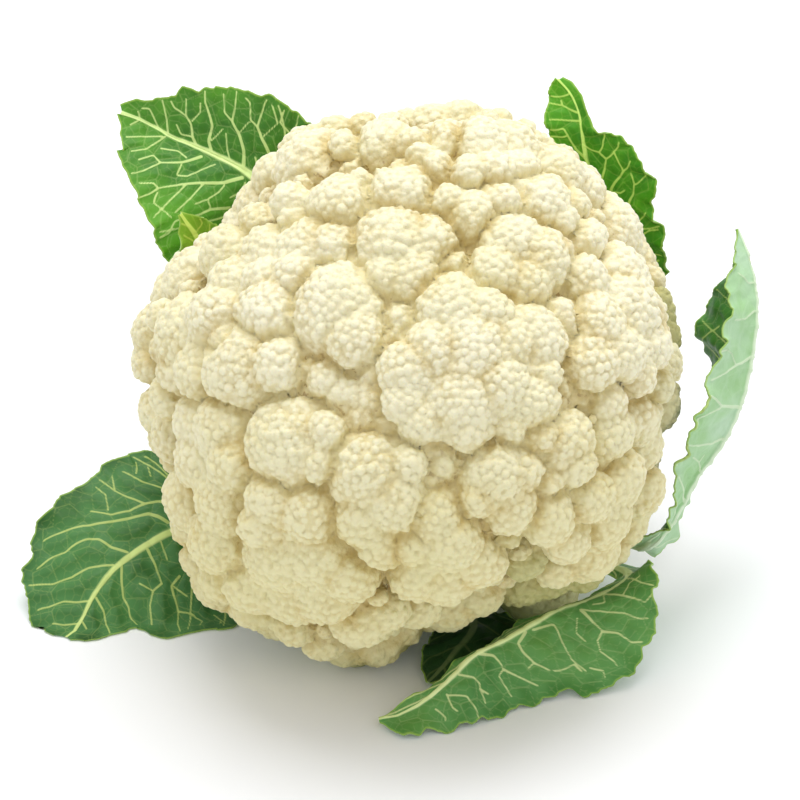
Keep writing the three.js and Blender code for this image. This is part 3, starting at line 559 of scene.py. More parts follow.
# Veins of the leaves, by the side of the midrib: half their width where they start, in
# millimetres, and points, as pixels of the leaf's crop
VEINS = {
    "leaf_back_left": {
        1: [
            (1, [(985, 640), (990, 540), (960, 450), (915, 350), (935, 220), (935, 135)]),
            (0.5, [(915, 350), (860, 280), (850, 150)]),
            (0.9, [(768, 580), (755, 480), (770, 370), (760, 300), (725, 210), (728, 130)]),
            (0.8, [(668, 530), (640, 450), (635, 360), (595, 305), (600, 180)]),
            (0.4, [(640, 450), (560, 430), (535, 360)]),
            (0.45, [(595, 305), (520, 250), (490, 200)]),
            (0.4, [(640, 340), (690, 280), (690, 210)]),
            (0.65, [(475, 440), (470, 340), (430, 195)]),
            (0.5, [(410, 400), (375, 300), (345, 255), (290, 255)]),
            (0.4, [(285, 330), (262, 270)]),
            (0.9, [(1165, 575), (1110, 460), (1085, 380), (1130, 230), (1140, 190)]),
            (0.5, [(1110, 460), (1210, 360), (1185, 230)]),
            (0.5, [(1085, 380), (1035, 330), (1030, 220), (1000, 180)]),
            (0.5, [(1300, 430), (1230, 350), (1260, 260)]),
            (0.4, [(1080, 690), (1070, 580)]),
            (0.4, [(905, 625), (880, 540), (870, 420)]),
            (0.35, [(960, 420), (1035, 340)]),
            (0.35, [(770, 470), (820, 430), (850, 390)]),
            (0.4, [(1340, 380), (1360, 300)]),
        ],
        -1: [
            (1.05, [(975, 725), (850, 765), (690, 768), (560, 780), (405, 800)]),
            (0.6, [(405, 800), (370, 765), (265, 765)]),
            (0.6, [(405, 800), (340, 845), (245, 865)]),
            (0.5, [(715, 775), (620, 870), (510, 970)]),
            (0.5, [(590, 785), (430, 945)]),
            (0.35, [(430, 945), (370, 1010)]),
            (0.35, [(430, 945), (495, 1000)]),
            (0.35, [(400, 830), (370, 910), (430, 945)]),
            (0.9, [(700, 590), (610, 620), (530, 635), (415, 628)]),
            (0.5, [(415, 628), (370, 580), (265, 610)]),
            (0.5, [(415, 628), (310, 680), (215, 700)]),
            (0.4, [(560, 640), (525, 710), (600, 725), (700, 680), (800, 645)]),
            (0.5, [(450, 455), (320, 535), (220, 550)]),
            (0.5, [(430, 450), (300, 448), (180, 455)]),
            (0.4, [(275, 335), (210, 375)]),
            (0.9, [(885, 935), (760, 940), (690, 980), (560, 1010)]),
            (0.5, [(560, 1010), (510, 1030), (470, 1110), (410, 1140)]),
            (0.4, [(760, 940), (740, 880), (650, 910)]),
            (0.4, [(1000, 765), (960, 830), (880, 865)]),
            (0.35, [(850, 780), (820, 830), (740, 875)]),
            (0.3, [(600, 600), (540, 550), (420, 530)]),
        ],
    },
    "leaf_small_left": {
        1: [
            (0.4, [(650, 1100), (700, 1040), (680, 1000)]),
            (0.4, [(690, 1150), (740, 1130), (750, 1040)]),
            (0.3, [(740, 1130), (830, 1080)]),
        ],
        -1: [
            (0.4, [(680, 1180), (620, 1150), (570, 1125)]),
            (0.3, [(625, 1060), (580, 1050), (555, 1040)]),
            (0.35, [(660, 1190), (600, 1200), (530, 1230)]),
        ],
    },
    "leaf_back_right": {
        -1: [
            (0.8, [(375, 610), (300, 560), (240, 465)]),
            (0.45, [(240, 465), (215, 425), (130, 425)]),
            (0.45, [(240, 465), (125, 490)]),
            (0.6, [(318, 375), (120, 372)]),
            (0.6, [(328, 330), (210, 280), (120, 270)]),
            (0.4, [(210, 280), (200, 245)]),
            (0.5, [(255, 207), (135, 215)]),
        ],
        1: [
            (1, [(435, 830), (470, 720), (485, 610)]),
            (0.6, [(485, 610), (440, 570), (465, 490), (460, 445)]),
            (0.4, [(440, 570), (390, 555), (350, 530)]),
            (0.5, [(485, 610), (535, 575), (565, 510)]),
            (0.5, [(535, 575), (590, 690)]),
            (0.9, [(495, 860), (540, 770), (595, 690), (635, 625)]),
            (0.8, [(625, 905), (655, 830), (665, 775)]),
            (0.5, [(665, 775), (635, 700)]),
            (0.5, [(665, 775), (735, 700)]),
            (0.35, [(530, 820), (580, 825), (610, 805)]),
            (0.6, [(700, 1090), (760, 1065), (820, 1060)]),
            (0.4, [(700, 1000), (740, 950)]),
            (0.4, [(770, 1265), (822, 1245)]),
            (0.4, [(770, 1400), (822, 1370)]),
        ],
    },
    "leaf_front": {
        -1: [
            (0.7, [(850, 425), (960, 395), (1000, 490), (1050, 575), (1130, 640)]),
            (0.9, [(810, 430), (775, 490), (790, 530), (850, 590), (940, 630)]),
            (0.4, [(850, 590), (820, 630)]),
            (0.9, [(570, 545), (640, 555), (680, 600), (690, 625)]),
            (0.6, [(690, 625), (780, 670), (880, 715)]),
            (0.5, [(690, 625), (670, 660), (740, 770)]),
            (0.6, [(460, 655), (540, 665), (570, 700), (570, 735), (620, 760)]),
            (0.4, [(570, 735), (600, 810)]),
            (0.5, [(400, 765), (505, 770), (545, 830), (560, 885)]),
            (0.5, [(340, 840), (390, 880), (395, 900)]),
            (0.5, [(400, 760), (430, 830), (460, 850)]),
            (1, [(1100, 315), (1160, 370), (1215, 425)]),
            (0.7, [(1215, 425), (1290, 435), (1370, 480), (1430, 485)]),
            (0.6, [(1215, 425), (1190, 480), (1200, 530), (1270, 580), (1300, 610)]),
            (0.5, [(1100, 315), (1200, 320), (1330, 330), (1400, 355), (1460, 360)]),
            (0.8, [(1200, 200), (1325, 245), (1440, 268), (1480, 230)]),
            (0.5, [(1325, 245), (1360, 180), (1420, 130)]),
            (0.4, [(1210, 200), (1230, 280), (1160, 290)]),
            (0.3, [(1080, 360), (1080, 440), (1130, 480)]),
            (0.4, [(1150, 620), (1220, 630), (1230, 680)]),
            (0.3, [(960, 630), (1060, 600), (1110, 640)]),
        ],
        1: [
            (0.4, [(400, 700), (300, 740), (150, 790)]),
            (0.4, [(380, 760), (180, 830), (60, 870)]),
            (0.4, [(560, 530), (700, 420), (850, 370)]),
        ],
    },
    "leaf_left": {
        1: [
            (0.9, [(950, 440), (870, 412), (790, 428), (700, 465), (600, 490), (470, 470)]),
            (1, [
                (925, 535), (870, 500), (810, 490), (720, 510), (600, 530), (450, 555), (300, 600),
                (190, 650),
            ]),
            (0.8, [
                (685, 712), (600, 680), (520, 640), (460, 630), (400, 655), (330, 710), (250, 740),
                (150, 810),
            ]),
            (0.7, [(605, 785), (530, 790), (460, 800), (370, 855), (250, 900), (110, 900)]),
            (0.6, [(462, 1000), (390, 1000), (320, 995), (230, 1030), (160, 1050)]),
            (0.5, [(402, 1130), (320, 1135), (250, 1125)]),
            (0.6, [(785, 425), (700, 390), (610, 355), (520, 285)]),
            (0.4, [(610, 355), (600, 260)]),
            (0.6, [(965, 355), (870, 335), (770, 295), (660, 235)]),
            (0.5, [(930, 270), (850, 190), (780, 150)]),
            (0.35, [(820, 270), (800, 200)]),
            (0.35, [(735, 250), (735, 180)]),
            (0.4, [(575, 460), (560, 380), (500, 330)]),
        ],
        -1: [
            (0.8, [(800, 695), (845, 780), (880, 890)]),
            (0.6, [(880, 890), (830, 930), (820, 1020), (830, 1140)]),
            (0.7, [(650, 790), (655, 870), (660, 970), (695, 1030), (700, 1080), (750, 1170)]),
            (0.6, [(500, 975), (545, 1050), (560, 1130), (590, 1250)]),
            (0.4, [(420, 1110), (450, 1160)]),
            (0.7, [(990, 850), (940, 905), (975, 1050), (975, 1160), (995, 1260)]),
            (0.5, [(975, 1050), (1060, 1070), (1120, 1130), (1110, 1190)]),
            (0.4, [(880, 650), (915, 760)]),
            (0.4, [(1190, 1080), (1230, 1140), (1225, 1190)]),
            (0.4, [(945, 905), (1040, 970)]),
            (0.4, [(760, 890), (830, 930)]),
        ],
    },
    "leaf_right": {
        1: [
            (0.5, [(1110, 560), (1085, 535), (1030, 550), (1000, 510), (930, 455)]),
            (0.6, [(1110, 790), (1080, 785), (1000, 855), (900, 865)]),
            (0.8, [(1055, 1190), (990, 1235), (920, 1265), (830, 1320), (690, 1395)]),
            (0.5, [(920, 1265), (885, 1160), (830, 1130), (780, 1145)]),
            (0.9, [(950, 1628), (790, 1618), (740, 1553), (685, 1538), (600, 1573), (560, 1603)]),
            (0.6, [(780, 1633), (680, 1683), (580, 1743), (500, 1803)]),
            (0.7, [(820, 1898), (700, 1943), (600, 1968), (490, 1963), (440, 2053), (400, 2143)]),
            (0.6, [(600, 2193), (600, 2103), (650, 2033)]),
            (0.4, [(600, 2103), (540, 2063)]),
        ],
        -1: [
            (0.6, [(700, 690), (640, 780), (580, 900), (590, 990)]),
            (0.5, [(800, 920), (700, 980), (665, 1060)]),
        ],
    },
}


def seen(right, up, near):
    """A point in the head's own place, from its place in the best view."""
    spread = (SIGHT_DISTANCE - near) / SIGHT_DISTANCE
    return RIGHT * right * spread + UP * up * spread + NEAR * near


def read_floret(x, y, radius, lift):
    """A floret's place right and up, its radius and its lift, in millimetres."""
    right = round((x - PHOTO_CENTRE[0]) * PHOTO_SCALE)
    up = round((PHOTO_CENTRE[1] - y) * PHOTO_SCALE)
    return right, up, round(radius * PHOTO_SCALE * 2) / 2, lift


def read_vein(leaf, points):
    """A vein's points right and up, to a tenth of a millimetre."""
    left, top, pixel = VEIN_CROPS[leaf]
    return [(round(left + pixel * x, 1), round(top - pixel * y, 1)) for x, y in points]


def unit(vectors):
    return vectors / np.linalg.norm(vectors, axis=-1, keepdims=True)


HEAD_SIDE = unit(RIGHT - HEAD_AXIS * (RIGHT @ HEAD_AXIS))
HEAD_BACK = np.cross(HEAD_AXIS, HEAD_SIDE)


def smoothstep(values, low, high):
    part = np.clip((values - low) / (high - low), 0, 1)
    return part * part * (3 - 2 * part)


def mix(a, b, part):
    return a + (b - a) * part


def random_source(seed):
    state = seed

    def draw():
        nonlocal state
        state = (state * 1664525 + 1013904223) % 4294967296
        return state / 4294967296

    return draw


def outline_radius(angles):
    place = (angles / (2 * math.pi) * len(OUTLINE)) % len(OUTLINE)
    index = np.floor(place).astype(int)
    part = place - index
    blend = part * part * (3 - 2 * part)
    return mix(OUTLINE[index % len(OUTLINE)], OUTLINE[(index + 1) % len(OUTLINE)], blend)


def envelope(directions):
    """Radius of the smooth envelope that the florets fill."""
    along = directions @ HEAD_AXIS
    across = np.sqrt(np.maximum(0, 1 - along * along))
    plain = 1 / np.hypot(along / HEAD_RISE, across / HEAD_WAIST)
    right = directions @ RIGHT
    up = directions @ UP
    limb = outline_radius(np.arctan2(up, right))
    return mix(plain, limb, smoothstep(np.hypot(right, up), LIMB_FROM, 1))


def underside(directions):
    """Radius of the plain underside: a flat for the stalk, then a cone to the lowest florets."""
    down = np.maximum(-(directions @ HEAD_AXIS), LEAST_DOWN)
    across = np.sqrt(np.maximum(0, 1 - down * down))
    flat = STALK_TOP / down
    cone = (STALK_TOP + UNDERSIDE_SLOPE * UNDERSIDE_FLAT) / (down + UNDERSIDE_SLOPE * across)
    return np.minimum(flat, cone)


def leaf_limit(directions):
    """Radius that the leaves stay outside of."""
    angle = np.arccos(np.clip(directions @ HEAD_AXIS, -1, 1))
    turn = smoothstep(angle, FLORET_REACH, FLORET_REACH + UNDERSIDE_TURN)
    outer = envelope(directions)
    return mix(outer, np.minimum(outer, underside(directions)), turn) + LEAF_CLEARANCE


def spiral(heights, turn, axis):
    """Directions at the given cosines from an axis, each a golden angle round from the last."""
    across = np.sqrt(np.maximum(0, 1 - heights * heights))
    angles = np.arange(len(heights)) * GOLDEN_ANGLE + turn
    side = np.cross([0.0, 0.0, 1.0], axis)
    if np.linalg.norm(side) < PARALLEL:
        side = np.array([1.0, 0.0, 0.0])
    side = unit(side)
    other = np.cross(axis, side)
    return (
        heights[:, None] * axis
        + (across * np.cos(angles))[:, None] * side
        + (across * np.sin(angles))[:, None] * other
    )


def even_heights(count, reach):
    return 1 - (np.arange(count) + 0.5) / count * (1 - math.cos(reach))


def shown_floret(right, up, radius, lift):
    """Centre of a floret that shows at a place and stands out of the envelope by a lift."""
    near = FIRST_NEAR
    for _ in range(PLACE_ROUNDS):
        centre = RIGHT * right + UP * up + NEAR * near
        reach = float(envelope(unit(centre))) + lift - radius
        near = math.sqrt(max(0.0, reach * reach - right * right - up * up))
    return unit(centre) * reach


class Floret:
    """A round floret, which faces along its axis and belongs to a bunch."""

    def __init__(self, centre, radius, axis, bunch, green=0.0):
        self.centre = centre
        self.radius = radius
        self.axis = axis
        self.bunch = bunch
        self.green = green


def hidden_bunches():
    """Centres and radii of the large florets of the far side, spread evenly, and the lowest two."""
    draw = random_source(HIDDEN_SEED)
    florets = [read_floret(*floret) for bunch in SHOWN_BUNCHES.values() for floret in bunch]
    shown = [(shown_floret(*floret), floret[2]) for floret in florets]
    resting = [(np.array(centre, float), radius) for centre, radius in RESTING_FLORETS]
    hidden = []
    for direction in spiral(even_heights(HIDDEN_FLORETS, FLORET_REACH), HIDDEN_TURN, HEAD_AXIS):
        radius = HIDDEN_RADIUS + HIDDEN_RADIUS_SPREAD * draw()
        lift = 2 * HIDDEN_LIFT * draw() - HIDDEN_LIFT
        centre = direction * (float(envelope(direction)) + lift - radius)
        taken = any(
            np.linalg.norm(centre - other) < HIDDEN_SPACING * radius
            for other, _ in shown + hidden + resting
        )
        if direction @ NEAR < HIDDEN_NEAR and not taken:
            hidden.append((centre, radius))
    return hidden + resting


def make_florets(rng):
    florets = []
    for index, (name, bunch) in enumerate(SHOWN_BUNCHES.items()):
        for floret in bunch:
            right, up, radius, lift = read_floret(*floret)
            radius = radius * WIDENING
            centre = shown_floret(right, up, radius, lift + RAISING)
            # share of the green painted shade from the leaves beside it
            green = LEAF_SHADE_GREENING.get(name, 0.0)
            florets.append(Floret(centre, radius, unit(centre), index, green))
    for centre, radius in hidden_bunches():
        index += 1
        area = 2 * math.pi * (1 - math.cos(LESSER_REACH)) * radius**2
        count = round(area / LESSER_SPACING**2)
        heights = even_heights(count, LESSER_REACH)
        directions = spiral(heights, rng.uniform(0, FULL_TURN), unit(centre))
        directions = unit(directions + rng.normal(0, LESSER_SCATTER, directions.shape))
        for direction in directions:
            size = rng.uniform(*LESSER_RADII)
            florets.append(Floret(centre + direction * (radius - size), size, direction, index))
    return florets


def bridges(florets):
    """Balls that fill the creases between the florets of one bunch, part of the way up."""
    centres = []
    radii = []
    for index, one in enumerate(florets):
        for other in florets[index + 1:]:
            if other.bunch != one.bunch:
                continue
            between = other.centre - one.centre
            apart = np.linalg.norm(between)
            along = (apart**2 + one.radius**2 - other.radius**2) / (2 * apart)
            if not 0 < along < min(apart, one.radius):
                continue
            crease = math.sqrt(one.radius**2 - along**2)
            least = min(one.radius, other.radius)
            centres.append(one.centre + between * along / apart)
            radii.append(mix(crease, least, BRIDGE_FILL) if crease < least else crease)
    return np.array(centres), np.array(radii)


def bulge(along):
    """Radius of a floret over its radius at the top, from a direction's cosine to its axis."""
    along = np.abs(along)
    across = np.sqrt(np.maximum(0, 1 - along * along))
    return (along**SQUARENESS + across**SQUARENESS) ** (-1 / SQUARENESS)


def fill_gaps(florets, rng):
    """Florets lower down, wherever no other one is."""
    directions = spiral(even_heights(FILL_COUNT, FLORET_REACH), 0.0, HEAD_AXIS)
    directions = unit(directions + rng.normal(0, FILL_SCATTER, directions.shape))
    hidden = (directions @ NEAR < FILL_NEAR).astype(int)
    sizes = np.array(FILL_RADII)[hidden] * rng.uniform(*FILL_SIZES, FILL_COUNT)
    depths = np.array(FILL_DEPTHS)[hidden]
    depths = depths + rng.uniform(-FILL_DEPTH_SPREAD, FILL_DEPTH_SPREAD, FILL_COUNT)
    reach = envelope(directions) - depths - sizes
    room = np.array(FILL_ROOM)[hidden] * sizes
    centres = np.array([floret.centre for floret in florets])
    radii = np.array([floret.radius for floret in florets])
    fillers = []
    for direction, size, out, least in zip(directions, sizes, reach, room):
        centre = direction * out
        gaps = np.linalg.norm(centres - centre, axis=1) - radii
        apart = size * FILL_SPACING
        clear = all(np.linalg.norm(centre - other.centre) > apart for other in fillers)
        if gaps.min() > least and clear:
            fillers.append(Floret(centre, size, direction, FILL_FIRST_BUNCH + len(fillers)))
    return fillers


def grow(floret, rng):
    """Smaller florets on a floret: centres and radii."""
    angles = np.linspace(FIRST_ANGLE, WRAP, ANGLE_STEPS)
    sizes = np.minimum(GROWTH * angles, LARGEST_SHARE) * floret.radius
    shown = np.maximum(sizes, GRAIN_RADIUS)
    rate = 2 * math.pi * np.sin(angles) * floret.radius**2 / (CROWDING * shown**2)
    count = np.concatenate([[0], np.cumsum((rate[1:] + rate[:-1]) / 2 * np.diff(angles))])
    places = np.arange(0.5, count[-1])
    found = np.interp(places, count, angles) * rng.uniform(*ANGLE_SPREAD, len(places))
    sizes = np.interp(places, count, sizes) * rng.uniform(*SIZE_SPREAD, len(places))
    directions = spiral(np.cos(found), rng.uniform(0, FULL_TURN), floret.axis)
    kept = sizes >= LEAST_FUSED
    sizes = sizes[kept]
    directions = unit(directions[kept] + rng.normal(0, GROWTH_SCATTER, (len(sizes), 3)))
    seats = floret.radius * bulge(directions @ floret.axis)
    seats = seats - sizes * (SEAT + rng.uniform(*SEAT_SPREAD, len(sizes)))
    return floret.centre + directions * seats[:, None], sizes


def new_mesh(name, points, faces):
    """A mesh of points in millimetres from the head's centre, with all faces of one size."""
    mesh = bpy.data.meshes.new(name)
    points = np.asarray(points, np.float64) + CENTRE
    faces = np.asarray(faces, np.int32)
    sides = faces.shape[1]
    mesh.vertices.add(len(points))
    mesh.vertices.foreach_set("co", (points * MM).astype(np.float32).ravel())
    mesh.loops.add(faces.size)
    mesh.loops.foreach_set("vertex_index", faces.ravel())
    mesh.polygons.add(len(faces))
    mesh.polygons.foreach_set("loop_start", np.arange(len(faces), dtype=np.int32) * sides)
    mesh.update(calc_edges=True)
    return mesh


def new_object(name, data):
    thing = bpy.data.objects.new(name, data)
    bpy.context.scene.collection.objects.link(thing)
    return thing


def mesh_points(mesh):
    points = np.empty(len(mesh.vertices) * 3, np.float32)
    mesh.vertices.foreach_get("co", points)
    return points.reshape(-1, 3).astype(np.float64) / MM - CENTRE


def set_points(mesh, points):
    mesh.vertices.foreach_set("co", ((points + CENTRE) * MM).astype(np.float32).ravel())
    mesh.update()


def mesh_normals(mesh):
    normals = np.empty(len(mesh.vertices) * 3, np.float32)
    mesh.vertex_normals.foreach_get("vector", normals)
    return normals.reshape(-1, 3).astype(np.float64)


def mesh_edges(mesh):
    edges = np.empty(len(mesh.edges) * 2, np.int32)
    mesh.edges.foreach_get("vertices", edges)
    return edges.reshape(-1, 2)


def smoothed(values, edges, rounds):
    """Values averaged with their neighbours along the edges, a number of times."""
    count = len(values)
    ends = np.concatenate([edges[:, 0], edges[:, 1]])
    others = np.concatenate([edges[:, 1], edges[:, 0]])
    share = np.maximum(np.bincount(ends, minlength=count), 1)
    values = np.array(values, float)
    columns = values.reshape(count, -1)
    for _ in range(rounds):
        near = np.stack(
            [np.bincount(ends, column[others], count) / share for column in columns.T], 1
        )
        columns = columns + (near - columns) * SMOOTHING_PULL
    return columns.reshape(values.shape)


def add_values(mesh, name, values):
    attribute = mesh.attributes.new(name, "FLOAT", "POINT")
    attribute.data.foreach_set("value", np.asarray(values, np.float32))


def ball_template(rounds):
    """Points and triangles of a ball of radius 1: a solid of 20 faces, split a number of times."""
    phi = (1 + math.sqrt(5)) / 2
    points = [(-1, phi, 0), (1, phi, 0), (-1, -phi, 0), (1, -phi, 0)]
    points += [(z, x, y) for x, y, z in points] + [(y, z, x) for x, y, z in points]
    points = unit(np.array(points, float))
    gaps = np.linalg.norm(points[:, None] - points[None], axis=2)
    edge = gaps[gaps > TINY].min() * EDGE_TOLERANCE
    faces = []
    for a, b, c in combinations(range(len(points)), 3):
        if max(gaps[a, b], gaps[b, c], gaps[a, c]) < edge:
            out = np.cross(points[b] - points[a], points[c] - points[a]) @ points[a] > 0
            faces.append((a, b, c) if out else (a, c, b))
    points = [tuple(point) for point in points]
    for _ in range(rounds):
        middles = {}

        def middle(a, b):
            key = (min(a, b), max(a, b))
            if key not in middles:
                middles[key] = len(points)
                points.append(tuple(unit(np.array(points[a]) + np.array(points[b]))))
            return middles[key]

        finer = []
        for a, b, c in faces:
            ab, bc, ca = middle(a, b), middle(b, c), middle(c, a)
            finer += [(a, ab, ca), (ab, b, bc), (ca, bc, c), (ab, bc, ca)]
        faces = finer
    return np.array(points), np.array(faces)


def core_ball():
    """The head's plain core and underside, with the ribs of its branches."""
    points, faces = ball_template(CORE_ROUNDS)
    angle = np.arccos(np.clip(points @ HEAD_AXIS, -1, 1))
    turn = np.arctan2(points @ HEAD_BACK, points @ HEAD_SIDE)
    ribs = sum(height * np.abs(np.sin(turn * half + at)) for height, half, at in BRANCH_RIBS)
    begun = smoothstep(angle, *RIBS_BEGIN)
    left = 1 - smoothstep(angle, *RIBS_END)
    ribs = ribs * begun * left
    radius = np.minimum(envelope(points) - CORE_DEPTH, underside(points) - CORE_GAP)
    radius = radius - RIB_SINK * begun * left + ribs
    return points * radius[:, None], faces


def fuse(florets, balls):
    """One closed mesh round all the balls."""
    coarse, plain, fine = (ball_template(rounds) for rounds in (1, 2, 3))
    shapes = [core_ball()]
    for floret in florets:
        points, faces = fine if floret.radius > FINE_ABOVE else plain
        reach = bulge(points @ floret.axis) * floret.radius * CORE_SHARE
        shapes.append((floret.centre + points * reach[:, None], faces))
    for centre, radius in balls:
        points, faces = coarse if radius < COARSE_BELOW else plain
        shapes.append((centre + points * radius, faces))
    all_faces = []
    offset = 0
    for points, faces in shapes:
        all_faces.append(faces + offset)
        offset += len(points)
    all_points = np.concatenate([points for points, _ in shapes])
    mesh = new_mesh("curd_balls", all_points, np.concatenate(all_faces))
    rough = new_object("curd_balls", mesh)
    remesh = rough.modifiers.new("fuse", "REMESH")
    remesh.mode = "VOXEL"
    remesh.voxel_size = CURD_VOXEL * MM
    finer = rough.modifiers.new("finer", "SUBSURF")
    finer.levels = 1
    finer.render_levels = finer.levels
    graph = bpy.context.evaluated_depsgraph_get()
    result = bpy.data.meshes.new_from_object(rough.evaluated_get(graph))
    bpy.data.objects.remove(rough)
    bpy.data.meshes.remove(mesh)
    return result


NEIGHBOURS = [(x, y, z) for x in (-1, 0, 1) for y in (-1, 0, 1) for z in (-1, 0, 1)]


class Grid:
    """Points sorted into cubes, to look up the ones near many places at once."""

    def __init__(self, points, size):
        self.points = points
        self.size = size
        self.low = points.min(axis=0) - 2 * size
        self.shape = np.ceil((points.max(axis=0) + 2 * size - self.low) / size).astype(int) + 1
        keys = self.key(self.cell(points))
        self.order = np.argsort(keys, kind="stable")
        self.starts = np.searchsorted(keys[self.order], np.arange(self.shape.prod() + 1))

    def cell(self, places):
        return np.floor((places - self.low) / self.size).astype(int)

    def key(self, cells):
        return (cells[:, 0] * self.shape[1] + cells[:, 1]) * self.shape[2] + cells[:, 2]

    def near(self, places):
        """Pairs of a place's index and a point's index, for all that lie in touching cubes."""
        cells = self.cell(places)
        for shift in NEIGHBOURS:
            shifted = cells + shift
            inside = np.flatnonzero(((shifted >= 0) & (shifted < self.shape)).all(axis=1))
            keys = self.key(shifted[inside])
            first = self.starts[keys]
            counts = self.starts[keys + 1] - first
            for step in range(counts.max() if len(counts) else 0):
                some = counts > step
                yield inside[some], self.order[first[some] + step]


def spread_grains(points, spacing, rng):
    """Indices of points no closer than their spacing to each other, in a random order."""
    order = rng.permutation(len(points))
    cells = np.floor((points - points.min(axis=0)) / float(spacing.max())).astype(int)
    taken = {}
    kept = []
    coords = points.tolist()
    reaches = spacing.tolist()
    keys = cells.tolist()
    for index in order.tolist():
        px, py, pz = coords[index]
        kx, ky, kz = keys[index]
        reach = reaches[index]
        square = reach * reach
        free = True
        for x, y, z in NEIGHBOURS:
            for qx, qy, qz in taken.get((kx + x, ky + y, kz + z), ()):
                if (qx - px) ** 2 + (qy - py) ** 2 + (qz - pz) ** 2 < square:
                    free = False
                    break
            if not free:
                break
        if free:
            taken.setdefault((kx, ky, kz), []).append((px, py, pz))
            kept.append(index)
    return np.array(kept)


def nearest_two(points, centres, radii, groups, axes=None):
    """How much nearer each point is to one ball's surface than to any of another group's, the
    distance from the nearest and its index."""
    first = np.full(len(points), FAR)
    second = np.full(len(points), FAR)
    owner = np.zeros(len(points), int)
    for low, high in zip(SIZE_BOUNDS, SIZE_BOUNDS[1:]):
        some = np.flatnonzero((radii >= low) & (radii < high))
        if len(some) == 0:
            continue
        grid = Grid(centres[some], float(radii[some].max()) * LOOKUP_SHARE + LOOKUP_ROOM)
        for place, found in grid.near(points):
            which = some[found]
            away = points[place] - centres[which]
            distance = np.sqrt(np.einsum("ij,ij->i", away, away)) + TINY
            gap = distance - radii[which]
            if axes is not None:
                along = np.einsum("ij,ij->i", away, axes[which]) / distance
                gap = distance / bulge(along) - radii[which]
            same = groups[which] == groups[owner[place]]
            nearer = gap < first[place]
            old = np.where(nearer, first[place], gap)
            second[place] = np.where(same, second[place], np.minimum(second[place], old))
            first[place] = np.where(nearer, gap, first[place])
            owner[place] = np.where(nearer, which, owner[place])
    return second - first, first, owner


def raise_grains(points, normals):
    """Heights of round grains over the surface."""
    rng = np.random.default_rng(GRAIN_SEED)
    spacing = GRAIN_SPACING * rng.uniform(*GRAIN_SPACING_SPREAD, len(points))
    tops = spread_grains(points, spacing, rng)
    radii = GRAIN_RADIUS * spacing[tops] / GRAIN_SPACING
    radii = radii * rng.uniform(*GRAIN_SIZE_SPREAD, len(tops))
    grid = Grid(points[tops], GRAIN_LOOKUP)
    total = np.zeros(len(points))
    for place, top in grid.near(points):
        gap = np.linalg.norm(points[place] - points[tops[top]], axis=1)
        radius = radii[top]
        rise = np.sqrt(np.maximum(radius**2 - gap**2, 0))
        facing = np.einsum("ij,ij->i", normals[place], normals[tops[top]]) > GRAIN_FACING
        rise = np.where(facing & (gap < radius), rise, 0)
        total[place] += np.exp(rise / GRAIN_SHARPNESS) - 1
    return GRAIN_SHARPNESS * np.log1p(total)


def bake_map(mesh, points):
    """A map with the near and far halves of the head side by side, each a flat disc."""
    loops = np.empty(len(mesh.loops), np.int32)
    mesh.loops.foreach_get("vertex_index", loops)
    sides = np.empty(len(mesh.polygons), np.int32)
    mesh.polygons.foreach_get("loop_total", sides)
    face_of_loop = np.repeat(np.arange(len(sides)), sides)
    directions = unit(points)
    loop_near = directions[loops] @ NEAR
    face_near = np.bincount(face_of_loop, loop_near, len(sides)) / sides
    front = face_near[face_of_loop] >= 0
    sign = np.where(front, 1.0, -1.0)
    stretch = 1 / np.sqrt(1 + np.clip(sign * loop_near, MAP_EDGE, 1))
    across = (directions[loops] @ RIGHT) * stretch * sign
    upward = (directions[loops] @ UP) * stretch
    middle = np.where(front, *MAP_MIDDLES)
    wide, high = MAP_HALF_SIZE
    coords = np.stack([middle + across * wide, 0.5 + upward * high], 1)
    layer = mesh.uv_layers.new(name="OFBake")
    layer.data.foreach_set("uv", coords.astype(np.float32).ravel())


def clefts(points, florets, smaller):
    """Values of 1 between bunches, between florets and between smaller florets, how near each point
    is to its floret's top, and how much of the green painted shade it takes."""
    centres = np.array([floret.centre for floret in florets])
    radii = np.array([floret.radius for floret in florets])
    axes = np.array([floret.axis for floret in florets])
    bunches = np.array([floret.bunch for floret in florets])
    apart, _, owner = nearest_two(points, centres, radii, np.arange(len(radii)), axes)
    groove = np.exp(-np.maximum(apart, 0) / GROOVE_WIDTH)
    cosine = np.einsum("ij,ij->i", unit(points - centres[owner]), axes[owner])
    crown = smoothstep(cosine, *CROWN)
    green = np.array([floret.green for floret in florets])[owner]
    apart, _, _ = nearest_two(points, centres, radii, bunches, axes)
    cleft = np.exp(-np.maximum(apart, 0) / CLEFT_WIDTH)
    centres, radii = smaller
    apart, gap, _ = nearest_two(points, centres, radii, np.arange(len(radii)))
    crease = np.where(gap < CREASE_REACH, np.exp(-np.maximum(apart, 0) / CREASE_WIDTH), 0)
    return cleft, groove, crease, crown, green


